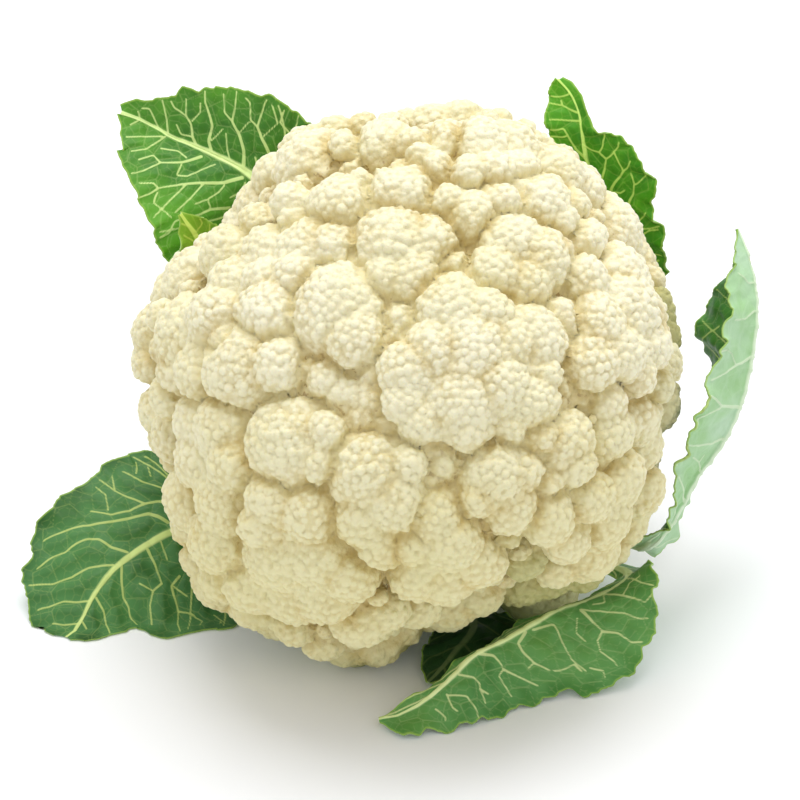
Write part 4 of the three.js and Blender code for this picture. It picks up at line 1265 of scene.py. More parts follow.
def make_curd():
    rng = np.random.default_rng(CURD_SEED)
    florets = make_florets(rng)
    florets += fill_gaps(florets, rng)
    grown = [grow(floret, rng) for floret in florets]
    smaller = [np.concatenate(parts) for parts in zip(*grown)]
    mesh = fuse(florets, [*zip(*smaller), *zip(*bridges(florets))])
    points = mesh_points(mesh)
    edges = mesh_edges(mesh)
    normals = unit(smoothed(mesh_normals(mesh), edges, NORMAL_ROUNDS))
    lower = smoothstep(-(unit(points) @ HEAD_AXIS), *LOWER_FROM)
    cleft, groove, crease, crown, green = clefts(points, florets, smaller)
    sunk = cleft * CLEFT_DEPTH + groove * GROOVE_DEPTH + crease * CREASE_DEPTH
    base = points - normals * (sunk * (1 - lower))[:, None]
    rise = raise_grains(base, normals)
    relief = mix(*GRAIN_RELIEF, crown) * (1 - lower)
    points = base + normals * ((rise - GRAIN_RADIUS * GRAIN_BASE) * relief)[:, None]
    points[:, 2] = np.maximum(points[:, 2], LOWEST)
    set_points(mesh, points)
    wide = smoothed(base, edges, WIDE_ROUNDS)
    values = {
        # how far each point lies in a wide hollow, for the painted shade there
        "hollow_shade_wide": np.einsum("ij,ij->i", wide - base, normals),
        "grain": rise / GRAIN_RADIUS,
        "cleft": cleft,
        "groove": groove,
        "crease": crease,
        "depth": envelope(unit(points)) - np.linalg.norm(points, axis=1),
        "lower": lower,
        # green painted shade beside the leaves
        "green": smoothed(green, edges, GREEN_ROUNDS),
        # painted shade towards the bottom of the best view
        "low": 1 - smoothstep(points @ UP, *LOW_SHADE_FROM),
    }
    for name, value in values.items():
        add_values(mesh, name, value)
    bake_map(mesh, points)
    mesh.shade_smooth()
    curd = new_object("curd_florets", mesh)
    mesh.materials.append(curd_material())
    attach(curd, "root")
    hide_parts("curd")


class Shader:
    """A material's nodes, made by short calls."""

    def __init__(self, name):
        self.material = bpy.data.materials.new(name)
        self.material.use_nodes = True
        self.nodes = self.material.node_tree.nodes
        self.links = self.material.node_tree.links
        self.nodes.clear()
        output = self.nodes.new("ShaderNodeOutputMaterial")
        self.surface = self.nodes.new("ShaderNodeBsdfPrincipled")
        self.links.new(self.surface.outputs[0], output.inputs["Surface"])

    def put(self, value, socket):
        if isinstance(value, bpy.types.NodeSocket):
            self.links.new(value, socket)
        else:
            socket.default_value = value

    def give(self, **values):
        """Values or node outputs for the surface's own inputs, which are named with spaces."""
        for name, value in values.items():
            self.put(value, self.surface.inputs[name.replace("_", " ")])

    def attribute(self, name):
        node = self.nodes.new("ShaderNodeAttribute")
        node.attribute_name = name
        return node.outputs["Fac"]

    def math(self, operation, a, b):
        node = self.nodes.new("ShaderNodeMath")
        node.operation = operation
        self.put(a, node.inputs[0])
        self.put(b, node.inputs[1])
        return node.outputs[0]

    def times(self, a, b):
        return self.math("MULTIPLY", a, b)

    def ramp(self, value, low, high):
        """0 at low and 1 at high."""
        node = self.nodes.new("ShaderNodeMapRange")
        node.interpolation_type = "SMOOTHSTEP"
        self.put(value, node.inputs["Value"])
        node.inputs["From Min"].default_value = low
        node.inputs["From Max"].default_value = high
        return node.outputs["Result"]

    def share(self, value, low, high, most):
        """0 at low and most at high."""
        return self.times(self.ramp(value, low, high), most)

    def blend(self, part, a, b):
        node = self.nodes.new("ShaderNodeMix")
        node.data_type = "RGBA"
        self.put(part, node.inputs[0])
        self.put(a, node.inputs[6])
        self.put(b, node.inputs[7])
        return node.outputs[2]

    def layers(self, colour, layers):
        """A colour under layers, each a part and a colour, from the lowest up."""
        for part, above in layers:
            colour = self.blend(part, colour, above)
        return colour

    def texture(self, kind, scale):
        place = self.nodes.new("ShaderNodeTexCoord").outputs["Object"]
        node = self.nodes.new(kind)
        node.inputs["Scale"].default_value = scale
        self.links.new(place, node.inputs["Vector"])
        return node

    def noise(self, scale, detail):
        node = self.texture("ShaderNodeTexNoise", scale)
        node.inputs["Detail"].default_value = detail
        return node.outputs["Fac"]

    def cells(self, scale):
        return self.texture("ShaderNodeTexVoronoi", scale).outputs["Distance"]

    def bump(self, height, distance, strength):
        node = self.nodes.new("ShaderNodeBump")
        node.inputs["Strength"].default_value = strength
        node.inputs["Distance"].default_value = distance
        self.put(height, node.inputs["Height"])
        return node.outputs["Normal"]


def srgb(red, green, blue):
    """A colour for a shader, from its value on a screen, 0 to 255."""
    values = []
    for channel in (red, green, blue):
        part = channel / 255
        values.append(part / 12.92 if part <= 0.04045 else ((part + 0.055) / 1.055) ** 2.4)
    return (*values, 1.0)


# Colours of the curd, in the order of its layers
CREAM = srgb(240, 235, 206)
WARM_CREAM = srgb(232, 226, 188)
# painted shade, darker and yellower towards the bottom of the best view
LOW_SHADE_CREAM = srgb(220, 212, 154)
# painted shade in wide hollows
HOLLOW_SHADE_CREAM = srgb(228, 218, 166)
# painted shade in the dips between grains
GRAIN_DIP_SHADE = srgb(218, 203, 144)
# painted shade in the creases, grooves and clefts, darker in patches
CREVICE_SHADE = srgb(222, 208, 150)
DARK_CREVICE_SHADE = srgb(206, 184, 116)
# painted shade on florets sunk below the envelope
SUNKEN_SHADE = srgb(222, 204, 150)
SPECK = srgb(150, 112, 60)
# painted shade deepest down
DEEP_SHADE = srgb(186, 158, 92)
# green painted shade on bunches beside the leaves
LEAF_SHADE_GREEN = srgb(158, 158, 82)
# the underside's own pale green, darkened with painted shade
UNDERSIDE_GREEN_AND_SHADE = srgb(150, 158, 92)


def curd_material():
    shader = Shader("curd")
    names = ("grain", "cleft", "groove", "crease", "hollow_shade_wide", "depth", "low", "green", "lower")
    grain, cleft, groove, crease, wide, depth, low, green, lower = map(shader.attribute, names)
    patches = shader.noise(22, 3)
    warm = shader.noise(70, 2)
    speck = shader.noise(420, 2)
    patchy = shader.ramp(warm, 0.35, 0.7)
    cream = shader.blend(shader.ramp(patches, 0.35, 0.7), CREAM, WARM_CREAM)
    # painted shade for the creases, grooves and clefts, darker in patches
    crevice_shade = shader.blend(shader.ramp(warm, 0.4, 0.65), CREVICE_SHADE, DARK_CREVICE_SHADE)
    # painted shade in the dips between grains
    line = shader.times(shader.ramp(grain, 0.74, 0.5), shader.math("ADD", patchy, 0.35))
    grooved = shader.times(groove, shader.math("ADD", patchy, 0.25))
    sunken = shader.ramp(depth, 4.0, 8.5)
    colour = shader.layers(cream, (
        # painted shade, darker and yellower low down in the best view
        (shader.times(low, 0.75), LOW_SHADE_CREAM),
        # painted shade in wide hollows
        (shader.share(wide, 0.5, 3.0, 0.35), HOLLOW_SHADE_CREAM),
        # painted shade in the dips between grains
        (shader.times(line, 0.36), GRAIN_DIP_SHADE),
        # painted shade in the creases between smaller florets, the grooves between florets and the
        # clefts between bunches
        (shader.times(shader.times(crease, patchy), 0.5), crevice_shade),
        (shader.times(grooved, 0.5), crevice_shade),
        (shader.times(cleft, 0.6), crevice_shade),
        # painted shade on sunken florets; the brown specks on them below are the curd's own
        (shader.times(sunken, 0.35), SUNKEN_SHADE),
        (shader.times(shader.times(sunken, shader.ramp(speck, 0.6, 0.68)), 0.6), SPECK),
        # painted shade deepest down
        (shader.share(depth, 9, 16, 0.5), DEEP_SHADE),
        # green painted shade on bunches beside the leaves
        (shader.times(green, 0.75), LEAF_SHADE_GREEN),
        # the underside's own pale green, darkened with painted shade
        (lower, UNDERSIDE_GREEN_AND_SHADE),
    ))
    fine = shader.times(shader.cells(1300), -1.0)
    shader.give(
        Base_Color=colour,
        Roughness=0.6,
        Subsurface_Weight=0.2,
        Subsurface_Radius=(1.0, 0.8, 0.45),
        Subsurface_Scale=0.002,
        Normal=shader.bump(fine, 0.00018, 0.8),
    )
    return shader.material


def pushed_clear(points, extra):
    """Points moved out of the head's own room."""
    directions = unit(points)
    limit = leaf_limit(directions) + extra
    short = np.linalg.norm(points, axis=-1) < limit
    return np.where(short[..., None], directions * limit[..., None], points)


def petiole_stations(leaf):
    """The hidden stretch from the stalk to the first station, close round the underside."""
    turn = math.radians(leaf["turn"])
    outward = HEAD_SIDE * math.cos(turn) + HEAD_BACK * math.sin(turn)
    root = outward * (STALK_RADIUS + ROOT_GAP) - HEAD_AXIS * leaf["depth"]
    half_width = leaf.get("petiole", PETIOLE_HALF_WIDTH)
    first = seen(*leaf["stations"][0][0])
    elbow = root + outward * ELBOW
    path = [root, elbow]
    for part in (1 / 3, 2 / 3):
        between = unit(mix(unit(elbow), unit(first), part))
        reach = mix(np.linalg.norm(elbow), np.linalg.norm(first), part)
        path.append(pushed_clear(between * reach, PETIOLE_DEPTH / 2))
    stations = []
    for place, point in enumerate(path):
        ahead = path[place + 1] if place + 1 < len(path) else first
        heading = unit(ahead - (root if place == 0 else path[place - 1]))
        radial = -HEAD_AXIS if place == 0 else unit(point)
        side = unit(np.cross(radial, heading))
        width = half_width if place < len(path) - 1 else half_width * PETIOLE_FLARE
        stations.append([point, point - side * width, point + side * width])
    return stations


def curve(points, parts):
    """Points along a smooth curve through the given ones, at parts from 0 to 1."""
    points = np.asarray(points)
    padded = np.concatenate([
        [2 * points[0] - points[1]], points, [2 * points[-1] - points[-2]]
    ])
    place = np.clip(parts, 0, 1) * (len(points) - 1)
    index = np.minimum(np.floor(place).astype(int), len(points) - 2)
    part = (place - index)[:, None]
    p0, p1, p2, p3 = (padded[index + step] for step in range(4))
    gap0, gap1, gap2 = (
        np.sqrt(np.linalg.norm(b - a, axis=1))[:, None] for a, b in ((p0, p1), (p1, p2), (p2, p3))
    )
    start = ((p1 - p0) / gap0 - (p2 - p0) / (gap0 + gap1) + (p2 - p1) / gap1) * gap1
    end = ((p2 - p1) / gap1 - (p3 - p1) / (gap1 + gap2) + (p3 - p2) / gap2) * gap1
    square = part * part
    cube = square * part
    return (
        p1
        + start * part
        + (-3 * p1 + 3 * p2 - 2 * start - end) * square
        + (2 * p1 - 2 * p2 + start + end) * cube
    )


def wobble(places, wave_length, phase):
    """An uneven wave between -1 and 1 along a line measured in millimetres."""
    angle = places * 2 * math.pi / wave_length
    return (
        np.sin(angle + phase) + 0.6 * np.sin(angle * 1.7 + 2.1 * phase + 1)
        + 0.35 * np.sin(angle * 2.9 + 3.3 * phase + 4)
    ) / 1.6


def kd_tree(points):
    tree = KDTree(len(points))
    for index, point in enumerate(points):
        tree.insert(point, index)
    tree.balance()
    return tree


class Leaf:
    """A leaf as a net of points, rows from root to tip and columns from left to right."""

    def __init__(self, data, seed):
        self.data = data
        self.rng = np.random.default_rng(seed)
        hidden = petiole_stations(data)
        shown = [[seen(*point) for point in station] for station in data["stations"]]
        stations = hidden + shown
        rails = np.array([[station[rail] for station in stations] for rail in range(3)])
        rails[:, 2:] = pushed_clear(rails[:, 2:], LEAF_ROOM)
        self.blade_from = len(hidden) / (len(stations) - 1)
        petiole_end = self.blade_from * PETIOLE_END
        dense = np.linspace(0, 1, RAIL_SAMPLES)
        lines = [curve(rail, dense) for rail in rails]
        steps, left, right = (np.linalg.norm(np.diff(line, axis=0), axis=1) for line in lines)
        steps = np.maximum(steps, np.maximum(left, right) * MARGIN_SHARE)
        steps = steps * np.where(dense[1:] < petiole_end, PETIOLE_STEPS, 1)
        length = np.concatenate([[0], np.cumsum(steps)])
        rows = int(length[-1] / ROW_STEP) + 2
        self.along = np.interp(np.linspace(0, length[-1], rows), length, dense)
        spans = [np.linalg.norm(line - lines[0], axis=1).max() for line in lines[1:]]
        self.half = int(np.clip(max(spans) / COLUMN_STEP, *COLUMNS_EACH_SIDE))
        self.across = np.arange(-self.half, self.half + 1) / self.half
        self.rails = [curve(rail, self.along) for rail in rails]
        self.open = smoothstep(self.along, petiole_end, self.blade_from)
        self.middle = self.make_middle()

    def make_middle(self):
        """The net's points: toothed at the margins, lifted in waves and ripples."""
        rib, left, right = self.rails
        beside = np.abs(self.across)[None]
        nets = []
        for margin, shift in ((left, 0), (right, WAVE_SHIFT)):
            steps = np.linalg.norm(np.diff(margin, axis=0), axis=1)
            place = np.concatenate([[0], np.cumsum(steps)])
            phase = self.rng.uniform(0, 6)
            broad, plain, sharp = (
                height * wobble(place, length, phase + step)
                for step, (height, length) in enumerate(TEETH)
            )
            teeth = (broad + plain + np.abs(sharp)) * self.data.get("teeth", 1.0)
            reach = np.linalg.norm(margin - rib, axis=1)
            fade = self.open * smoothstep(reach, *TEETH_REACH)
            grown = 1 + teeth * fade / np.maximum(reach, TEETH_REACH[0])
            net = rib[:, None] + (margin - rib)[:, None] * beside[..., None]
            net = net + (margin - rib)[:, None] * (
                (grown - 1)[:, None, None] * smoothstep(beside[..., None], MARGIN_FROM, 1.0)
            )
            swell = np.sin(self.along * self.data["waves"] * 2 * math.pi + shift)
            lift = self.data["wave"] * beside**2 * (1 + swell[:, None]) * 0.5
            ripple, fine = (
                wobble(place, length, phase + turn)[:, None] * beside**power * height
                for length, turn, power, height in zip(
                    RIPPLE_LENGTHS, (3, 5), RIPPLE_POWERS, RIPPLE_HEIGHTS
                )
            )
            room = np.clip(reach / RIPPLE_ROOM, 0, 1)[:, None]
            lift = lift + (ripple + fine + MARGIN_LIFT) * room * beside
            nets.append(net + unit(net) * (lift * self.open[:, None])[..., None])
        return np.where(self.across[None, :, None] < 0, *nets)

    def normals(self, net):
        ahead = np.gradient(net, axis=0)
        aside = np.gradient(net, axis=1)
        return unit(np.cross(aside, ahead))

    def seen_places(self):
        """Where the net's points lie in the best view: right and up."""
        near = self.middle @ NEAR
        spread = (SIGHT_DISTANCE - near) / SIGHT_DISTANCE
        return np.stack([self.middle @ RIGHT / spread, self.middle @ UP / spread], -1)

    def vein_lines(self):
        """Points along all veins but the midrib, with their half widths."""
        places = self.seen_places()
        first_row = np.searchsorted(self.along, self.blade_from * VEINS_FROM)
        lines = []
        starts = {-1: len(self.along), 1: len(self.along)}
        name = self.data["name"]
        for side, veins in VEINS.get(name, {}).items():
            first_column = self.half + 1 if side > 0 else 0
            region = places[first_row:, first_column:first_column + self.half]
            for width, points in veins:
                route = []
                for right, up in read_vein(name, points):
                    gap = (region[..., 0] - right) ** 2 + (region[..., 1] - up) ** 2
                    row, column = np.unravel_index(np.argmin(gap), gap.shape)
                    route.append((row + first_row, column + first_column))
                lines.append((np.array(route, float), width))
                if abs(self.across[route[0][1]]) < NEAR_RIB:
                    starts[side] = min(starts[side], route[0][0])
        spacing = BRANCH_SPACING / ROW_STEP
        for side, start in starts.items():
            row = start - spacing
            while row > first_row:
                lines.append((self.branch(row, side, spacing), BRANCH_HALF_WIDTH))
                row -= spacing * self.rng.uniform(*BRANCH_SPREAD)
        return lines

    def branch(self, row, side, spacing):
        """A made-up vein that leaves the midrib at a row."""
        bend = self.rng.uniform(-BRANCH_BEND, BRANCH_BEND)
        route = []
        for part in BRANCH_PARTS:
            sway = self.rng.uniform(-BRANCH_SWAY, BRANCH_SWAY)
            ahead = spacing * (BRANCH_SLOPE * part + bend * part + sway * part)
            column = self.half + side * part * self.half
            route.append((min(row + ahead, len(self.along) - 1), column))
        return np.array(route)

    def at(self, rows, columns):
        """Places in the net at rows and columns that needn't be whole."""
        low_row = np.clip(np.floor(rows).astype(int), 0, len(self.along) - 2)
        low_column = np.clip(np.floor(columns).astype(int), 0, len(self.across) - 2)
        r = (rows - low_row)[:, None]
        c = (columns - low_column)[:, None]
        net = self.middle
        return mix(
            mix(net[low_row, low_column], net[low_row, low_column + 1], c),
            mix(net[low_row + 1, low_column], net[low_row + 1, low_column + 1], c),
            r,
        )

    def vein_distance(self):
        """Distance from each point to the edge of the nearest vein and to its middle."""
        samples = []
        widths = []
        for route, width in self.vein_lines():
            steps = []
            for a, b in zip(route[:-1], route[1:]):
                gap = np.linalg.norm(self.at(*np.array([b]).T) - self.at(*np.array([a]).T))
                count = max(2, int(gap / VEIN_STEP))
                parts = np.linspace(0, 1, count, endpoint=False)[:, None]
                steps.append(a + (b - a) * parts)
            steps = np.concatenate(steps)
            for _ in range(VEIN_ROUNDS):
                steps[1:-1] = (steps[:-2] + steps[1:-1] * 2 + steps[2:]) / 4
            samples.append(self.at(steps[:, 0], steps[:, 1]))
            thinning = np.linspace(1, VEIN_TIP, len(steps))
            widths.append(np.maximum(width * VEIN_SHARE * thinning, VEIN_LEAST))
        widths = np.concatenate(widths)
        tree = kd_tree(np.concatenate(samples))
        found = [tree.find(point)[1:] for point in self.middle.reshape(-1, 3)]
        index, gap = (np.array(values) for values in zip(*found))
        shape = self.middle.shape[:2]
        return (gap - widths[index]).reshape(shape), gap.reshape(shape)

    def net_distance(self, spacing):
        """Distance to the edges of an uneven net of cells, in millimetres."""
        flat = self.middle.reshape(-1, 3)
        seeds = flat[spread_grains(flat, np.full(len(flat), spacing), self.rng)]
        seeds = seeds + self.rng.normal(0, spacing * NET_SCATTER, seeds.shape)
        tree = kd_tree(seeds)
        edges = np.empty(len(flat))
        for place, point in enumerate(flat):
            first, second = tree.find_n(point, 2)
            gap = (first[0] - second[0]).length
            edges[place] = (second[2] ** 2 - first[2] ** 2) / (2 * gap)
        return edges.reshape(self.middle.shape[:2])

    def make(self):
        vein_edge, vein_gap = self.vein_distance()
        coarse, fine = (self.net_distance(spacing) for spacing in NET_SPACINGS)
        vein = 1 - smoothstep(vein_edge, *VEIN_EDGE)
        half_width = np.maximum(
            np.linalg.norm(self.middle[:, 0] - self.rails[0], axis=1),
            np.linalg.norm(self.middle[:, -1] - self.rails[0], axis=1),
        )
        from_rib = np.linalg.norm(self.middle - self.rails[0][:, None], axis=2)
        gap = np.minimum(vein_gap, from_rib)
        blade_part = np.clip((self.along - self.blade_from) / (1 - self.blade_from), 0, 1)
        rib_width = mix(*RIB_WIDTHS, np.sqrt(blade_part)) * self.data.get("rib", 1.0)
        rib = 1 - smoothstep(from_rib / rib_width[:, None], *RIB_EDGE)
        rib = np.maximum(rib, (1 - self.open)[:, None])
        # The blade swells between its veins
        swell = VEIN_SWELL * smoothstep(gap, 0, VEIN_SWELL_REACH)
        swell += CELL_SWELL * smoothstep(coarse, 0, CELL_SWELL_REACH)
        swell = swell * self.open[:, None] * smoothstep(half_width, *SWELL_WIDTHS)[:, None]
        swell = swell * (1 - np.abs(self.across)[None] ** 4 * MARGIN_FLATNESS)
        middle = self.middle + self.normals(self.middle) * swell[..., None]
        normals = self.normals(middle)
        depth = mix(PETIOLE_DEPTH, TIP_DEPTH, np.sqrt(self.along))[:, None]
        petiole = 1 - smoothstep(self.along, self.blade_from * PETIOLE_FROM, self.blade_from)
        stem = petiole[:, None] * np.sqrt(np.maximum(0, 1 - self.across[None] ** 2))
        ridge = np.sqrt(np.maximum(0, 1 - (from_rib / (rib_width[:, None] * RIDGE_WIDTH)) ** 2))
        ridge = ridge * (1 - petiole[:, None])
        thin = BLADE_THICKNESS / 2
        stem_above, stem_below = STEM_SHARES
        vein_above, vein_below = VEIN_HEIGHTS
        below = thin + depth * stem_below * np.maximum(stem, ridge * RIDGE_SHARE)
        below = below + vein_below * vein
        above = thin + depth * stem_above * stem + RIDGE_HEIGHT * ridge + vein_above * vein
        upper = middle + normals * above[..., None]
        lower = middle - normals * below[..., None]
        lower[..., 2] = np.maximum(lower[..., 2], LOWEST)
        upper[..., 2] = np.maximum(upper[..., 2], LOWEST + 2 * thin)
        return self.mesh(upper, lower, {
            "vein_edge": vein_edge,
            "coarse": coarse,
            "fine": fine,
            "rib": rib,
            "edge": self.edge_distance(),
            "vein_gap": gap,
        })

    def edge_distance(self):
        """Distance from each point to the nearer margin, along its row."""
        left = np.linalg.norm(self.middle[:, :1] - self.middle, axis=2)
        right = np.linalg.norm(self.middle[:, -1:] - self.middle, axis=2)
        return np.minimum(left, right)

    def mesh(self, upper, lower, values):
        rows, columns = upper.shape[:2]
        count = rows * columns
        index = np.arange(count).reshape(rows, columns)
        corners = [index[:-1, :-1], index[:-1, 1:], index[1:, 1:], index[1:, :-1]]
        top = np.stack(corners, -1).reshape(-1, 4)
        bottom = top[:, ::-1] + count
        loop = np.concatenate([
            index[0, :-1], index[:-1, -1], index[-1, :0:-1], index[:0:-1, 0],
        ])
        after = np.roll(loop, -1)
        rim = np.stack([after, loop, loop + count, after + count], -1)
        faces = np.concatenate([top, bottom, rim])
        points = np.concatenate([upper.reshape(-1, 3), lower.reshape(-1, 3)])
        mesh = new_mesh(self.data["name"] + "_blade", points, faces)
        for name, value in values.items():
            add_values(mesh, name, np.concatenate([value.ravel(), value.ravel()]))
        add_values(mesh, "upper", np.repeat([1.0, 0.0], count))
        along = np.repeat(np.linspace(0, 1, rows), columns)
        across = np.tile(np.linspace(0, 1, columns), rows)
        wide, high = FACE_MAP
        place = np.stack([
            np.concatenate([start + across * wide for start in FACE_MAP_STARTS]),
            np.concatenate([FACE_MAP_STARTS[0] + along * high] * 2),
        ], 1)
        coords = place[faces]
        rim_coords = coords[len(top) * 2:]
        rim_coords[:, 2:] = rim_coords[:, 1::-1] + RIM_MAP_WIDTH
        layer = mesh.uv_layers.new(name="OFBake")
        layer.data.foreach_set("uv", coords.astype(np.float32).ravel())
        mesh.shade_smooth()
        return mesh


# Material, darker and brighter green and colour of the veins on a screen's scale, and the share of
# waxy bloom with painted sheen beside the veins
LEAF_LOOKS = {
    "leaf_back_left": ("leaf_bright", (34, 96, 4), (92, 158, 26), (206, 230, 146), 0.3),
    "leaf_small_left": ("leaf_young", (84, 140, 10), (128, 172, 32), (186, 210, 90), 0.2),
    "leaf_back_right": ("leaf_mid", (44, 124, 4), (100, 176, 22), (190, 226, 110), 0.15),
    "leaf_right": ("leaf_pale", (28, 90, 14), (60, 126, 30), (180, 205, 120), 0.3),
    "leaf_front": ("leaf_mid_front", (38, 106, 26), (98, 152, 72), (212, 226, 158), 0.5),
    # the leaf in the shade under the head: its greens and veins are darkened with painted shade
    "leaf_under": ("leaf_under_shaded", (12, 38, 12), (24, 58, 20), (84, 104, 58), 0.2),
    "leaf_left": ("leaf_deep", (18, 64, 12), (62, 112, 50), (186, 204, 118), 0.5),
}

# Colours of the leaves' lower faces and of their rims
PALE = srgb(160, 202, 146)
PALER = srgb(188, 218, 186)
PALE_GREEN = srgb(150, 194, 124)
NET_BELOW = srgb(196, 222, 186)
VEIN_BELOW = srgb(208, 228, 192)
RIB_BELOW = srgb(214, 232, 200)
RIM = srgb(168, 200, 92)

# The waxy bloom with painted sheen beside the veins, and the midrib's colour over the veins', on a
# screen's scale
BLOOM_AND_SHEEN_GREY = 165
BLOOM_AND_SHEEN_SHARE = 0.55
BLOOM_AND_SHEEN_PALER = 25
BLOOM_AND_SHEEN_GREENER = 8
RIB_PALER = 22


def leaf_material(name, dark, bright, vein_colour, bloom_and_sheen):
    shader = Shader(name)
    names = ("vein_edge", "coarse", "fine", "rib", "vein_gap", "upper", "edge")
    vein_edge, coarse, fine, rib, gap, upper, edge = map(shader.attribute, names)
    vein = shader.ramp(vein_edge, 0.22, -0.12)
    net = shader.math(
        "MAXIMUM", shader.share(coarse, 0.42, 0.08, 0.42), shader.share(fine, 0.34, 0.06, 0.22)
    )
    patches = shader.noise(26, 3)
    speckle = shader.noise(190, 3)
    red, green, blue = (int(mix(channel, BLOOM_AND_SHEEN_GREY, BLOOM_AND_SHEEN_SHARE)) for channel in bright)
    bloom_and_sheen_colour = srgb(red - BLOOM_AND_SHEEN_PALER, green + BLOOM_AND_SHEEN_GREENER, blue - BLOOM_AND_SHEEN_PALER)
    face_above = shader.blend(shader.ramp(patches, 0.35, 0.68), srgb(*dark), srgb(*bright))
    face_above = shader.layers(face_above, (
        (shader.share(speckle, 0.4, 0.7, 0.3), srgb(*bright)),
        # waxy bloom with painted sheen beside the veins
        (shader.share(gap, 7.0, 0.5, bloom_and_sheen), bloom_and_sheen_colour),
    ))
    face_below = shader.blend(shader.ramp(patches, 0.35, 0.65), PALE, PALER)
    face_below = shader.blend(shader.share(speckle, 0.4, 0.7, 0.35), face_below, PALE_GREEN)
    vein_above = srgb(*vein_colour)
    rib_above = srgb(*[min(255, channel + RIB_PALER) for channel in vein_colour])
    colour = shader.layers(shader.blend(upper, face_below, face_above), (
        (shader.times(net, 0.42), shader.blend(upper, NET_BELOW, vein_above)),
        (shader.times(vein, 0.9), shader.blend(upper, VEIN_BELOW, vein_above)),
        (rib, shader.blend(upper, RIB_BELOW, rib_above)),
        (shader.share(edge, 0.9, 0.2, 0.6), RIM),
    ))
    relief = shader.math("ADD", shader.times(net, -0.6), speckle)
    shader.give(
        Base_Color=colour,
        Roughness=shader.math("ADD", shader.share(speckle, 0.2, 0.8, 0.14), 0.4),
        Specular_IOR_Level=0.22,
        Normal=shader.bump(relief, 0.0003, 0.6),
    )
    return shader.material


def make_leaves():
    for seed, data in enumerate(LEAVES):
        mesh = Leaf(data, LEAF_SEED + seed).make()
        name = data["name"]
        thing = new_object(name + "_blade", mesh)
        mesh.materials.append(leaf_material(*LEAF_LOOKS[name]))
        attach(thing, "root")
        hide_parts(name)


# The stalk: points round it, levels down it and rings in its cut end. It narrows a little at its
# middle, is shallowly fluted and has scars where leaves were cut off.
STALK_POINTS = 160
STALK_LEVELS = 60
FOOT_RINGS = 14
STALK_NARROWING = 0.98
STALK_WAIST = 0.04
FLUTES = (9, 4)
FLUTE_DEPTHS = (0.35, 0.25)
SCARS = ((40, 66), (100, 70), (165, 74), (230, 68), (285, 76), (335, 66))  # degrees and depth
SCAR_SIZE = (9.5, 3.6)
SCAR_DEPTH = 0.5
SCAR_EDGE = (0.7, 1.0)
SCAR_RIM = (0.35, 1.05, 0.16)  # height, place over the scar's size, and width
PITH = (12, 17)


def stalk_surface(turns, radius, fall, part):
    """How far out the stalk's side is at one level, all round."""
    waist = radius * (1 - STALK_WAIST * math.sin(math.pi * part))
    many, few = FLUTES
    mean, swing = FLUTE_DEPTHS
    bumps = -mean - swing * np.sin(turns * many + 1.0) * np.sin(turns * few + 2.0)
    wide, high = SCAR_SIZE
    rim_height, rim_place, rim_width = SCAR_RIM
    for angle, depth in SCARS:
        turn = (turns - math.radians(angle) + math.pi) % (2 * math.pi) - math.pi
        far = np.hypot(turn * radius / wide, (fall - depth) / high)
        bumps = bumps - SCAR_DEPTH * (1 - smoothstep(far, *SCAR_EDGE))
        bumps = bumps + rim_height * np.exp(-((far - rim_place) / rim_width) ** 2)
    return waist + np.minimum(bumps, 0)


def make_stalk():
    """The stalk, trimmed level with the surface that the head rests on."""
    turns = np.arange(STALK_POINTS) * 2 * math.pi / STALK_POINTS
    outward = np.cos(turns)[:, None] * HEAD_SIDE + np.sin(turns)[:, None] * HEAD_BACK
    radius = STALK_RADIUS * STALK_NARROWING
    foot_fall = (outward[:, 2] * radius + HEAD_HEIGHT) / HEAD_AXIS[2]
    rings = []
    for part in np.arange(STALK_LEVELS + 1) / STALK_LEVELS:
        fall = mix(STALK_TOP + JOIN_GAP, foot_fall, part)
        width = stalk_surface(turns, radius, fall, part)
        rings.append(outward * width[:, None] - HEAD_AXIS * fall[:, None])
    rings = np.array(rings)
    rings[-1][:, 2] = STALK_LOWEST
    foot_middle = rings[-1].mean(axis=0)
    top_middle = rings[0].mean(axis=0)
    foot = [
        mix(foot_middle, rings[-1], 1 - (step + 1) / FOOT_RINGS) for step in range(FOOT_RINGS - 1)
    ]
    points = np.concatenate([rings.reshape(-1, 3), np.concatenate(foot)])
    count = len(points)
    points = np.concatenate([points, [foot_middle, top_middle]])
    index = np.arange(count).reshape(-1, STALK_POINTS)
    a, b = index[:-1], index[1:]
    quads = np.stack([a, b, np.roll(b, -1, 1), np.roll(a, -1, 1)], -1).reshape(-1, 4)
    triangles = []
    for side in range(STALK_POINTS):
        after = (side + 1) % STALK_POINTS
        triangles.append((count, index[-1][after], index[-1][side]))
        triangles.append((count + 1, side, after))
    mesh = bpy.data.meshes.new("stalk_trimmed")
    mesh.from_pydata(((points + CENTRE) * MM).tolist(), [], quads.tolist() + triangles)
    cut = np.zeros(len(points))
    cut[(len(rings) - 1) * STALK_POINTS:count + 1] = 1
    add_values(mesh, "cut", cut)
    from_middle = np.linalg.norm(points - foot_middle, axis=1)
    add_values(mesh, "pith", 1 - smoothstep(from_middle, *PITH))
    mesh.shade_smooth()
    stalk = new_object("stalk_trimmed", mesh)
    mesh.materials.append(stalk_material())
    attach(stalk, "root")
    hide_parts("stalk")


def stalk_material():
    shader = Shader("stalk")
    pith, cut = map(shader.attribute, ("pith", "cut"))
    streaks = shader.noise(90, 3)
    side = shader.blend(
        shader.ramp(streaks, 0.35, 0.65), srgb(150, 170, 96), srgb(186, 200, 134)
    )
    flesh = shader.blend(pith, srgb(214, 220, 170), srgb(238, 236, 206))
    flesh = shader.blend(shader.share(streaks, 0.5, 0.7, 0.4), flesh, srgb(206, 188, 140))
    shader.give(
        Base_Color=shader.blend(cut, side, flesh),
        Roughness=0.5,
        Normal=shader.bump(streaks, 0.0006, 0.5),
    )
    return shader.material


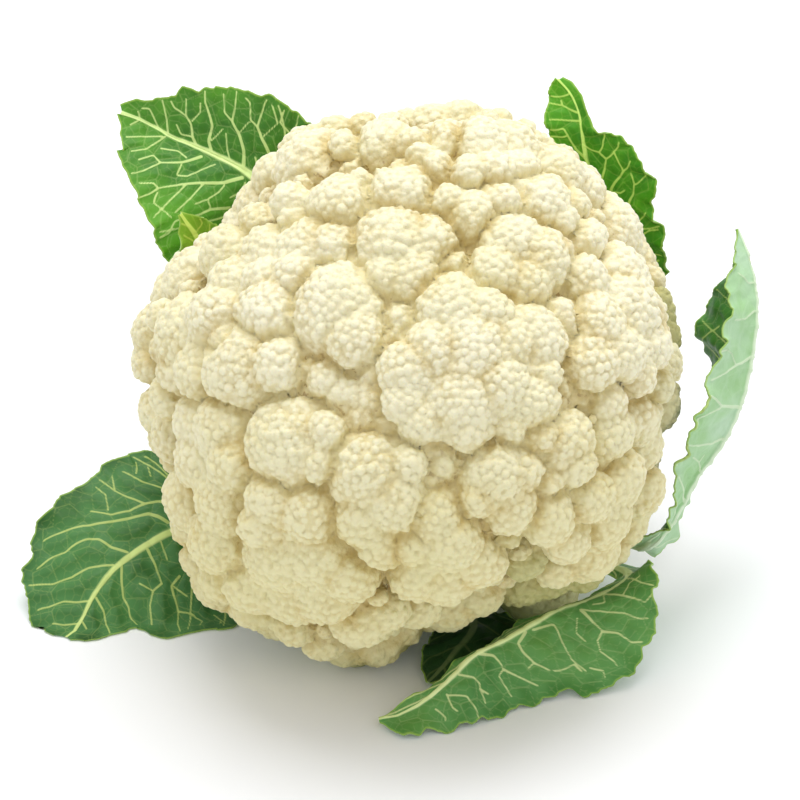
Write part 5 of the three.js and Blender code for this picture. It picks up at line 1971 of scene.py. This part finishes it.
# The studio, in metres and watts
FLOOR_HALF_SIZE = 6.0
FLOOR_COLOUR = (0.93, 0.94, 0.965, 1)
WORLD_STRENGTH = 0.82
LIGHTS = {  # place, power and size
    "key": ((-0.12, 0.12, 1.4), 8, 0.8),
    "rim": ((0.4, 0.5, 1.2), 4, 0.7),
}
LIGHT_TARGET = (0.0, 0.0, 0.08)
CLIP_END = 50


def make_stage():
    corners = [
        (x * FLOOR_HALF_SIZE, y * FLOOR_HALF_SIZE, 0)
        for x, y in ((-1, -1), (1, -1), (1, 1), (-1, 1))
    ]
    floor_mesh = bpy.data.meshes.new("floor")
    floor_mesh.from_pydata(corners, [], [(0, 1, 2, 3)])
    floor = new_object("floor", floor_mesh)
    shader = Shader("floor")
    shader.give(Base_Color=FLOOR_COLOUR, Roughness=0.9, Specular_IOR_Level=0.1)
    floor_mesh.materials.append(shader.material)


def add_light(name, location, energy, size):
    data = bpy.data.lights.new(name, "AREA")
    data.energy = energy
    data.size = size
    lamp = new_object(name, data)
    lamp.location = location
    away = np.array(location) - np.array(LIGHT_TARGET)
    flat = math.hypot(away[0], away[1])
    lamp.rotation_euler = (math.atan2(flat, away[2]), 0, math.atan2(away[0], -away[1]))


def make_lights():
    world = bpy.data.worlds.new("studio")
    bpy.context.scene.world = world
    world.use_nodes = True
    background = world.node_tree.nodes["Background"]
    background.inputs["Color"].default_value = (1, 1, 1, 1)
    background.inputs["Strength"].default_value = WORLD_STRENGTH
    for name, (location, energy, size) in LIGHTS.items():
        add_light(name, location, energy, size)
    bpy.context.scene.view_settings.view_transform = "Standard"


def make_camera():
    data = bpy.data.cameras.new("camera")
    data.sensor_width = SENSOR_WIDTH
    data.lens = SENSOR_WIDTH * SIGHT_DISTANCE / VIEW_WIDTH
    data.clip_end = CLIP_END
    camera = new_object("camera", data)
    aim = CENTRE + RIGHT * VIEW_SHIFT[0] + UP * VIEW_SHIFT[1]
    camera.location = (aim + NEAR * SIGHT_DISTANCE) * MM
    camera.rotation_euler = (math.pi / 2 - SIGHT, 0, 0)
    bpy.context.scene.camera = camera


make_camera()
make_stage()
make_lights()
make_stalk()
make_leaves()
make_curd()
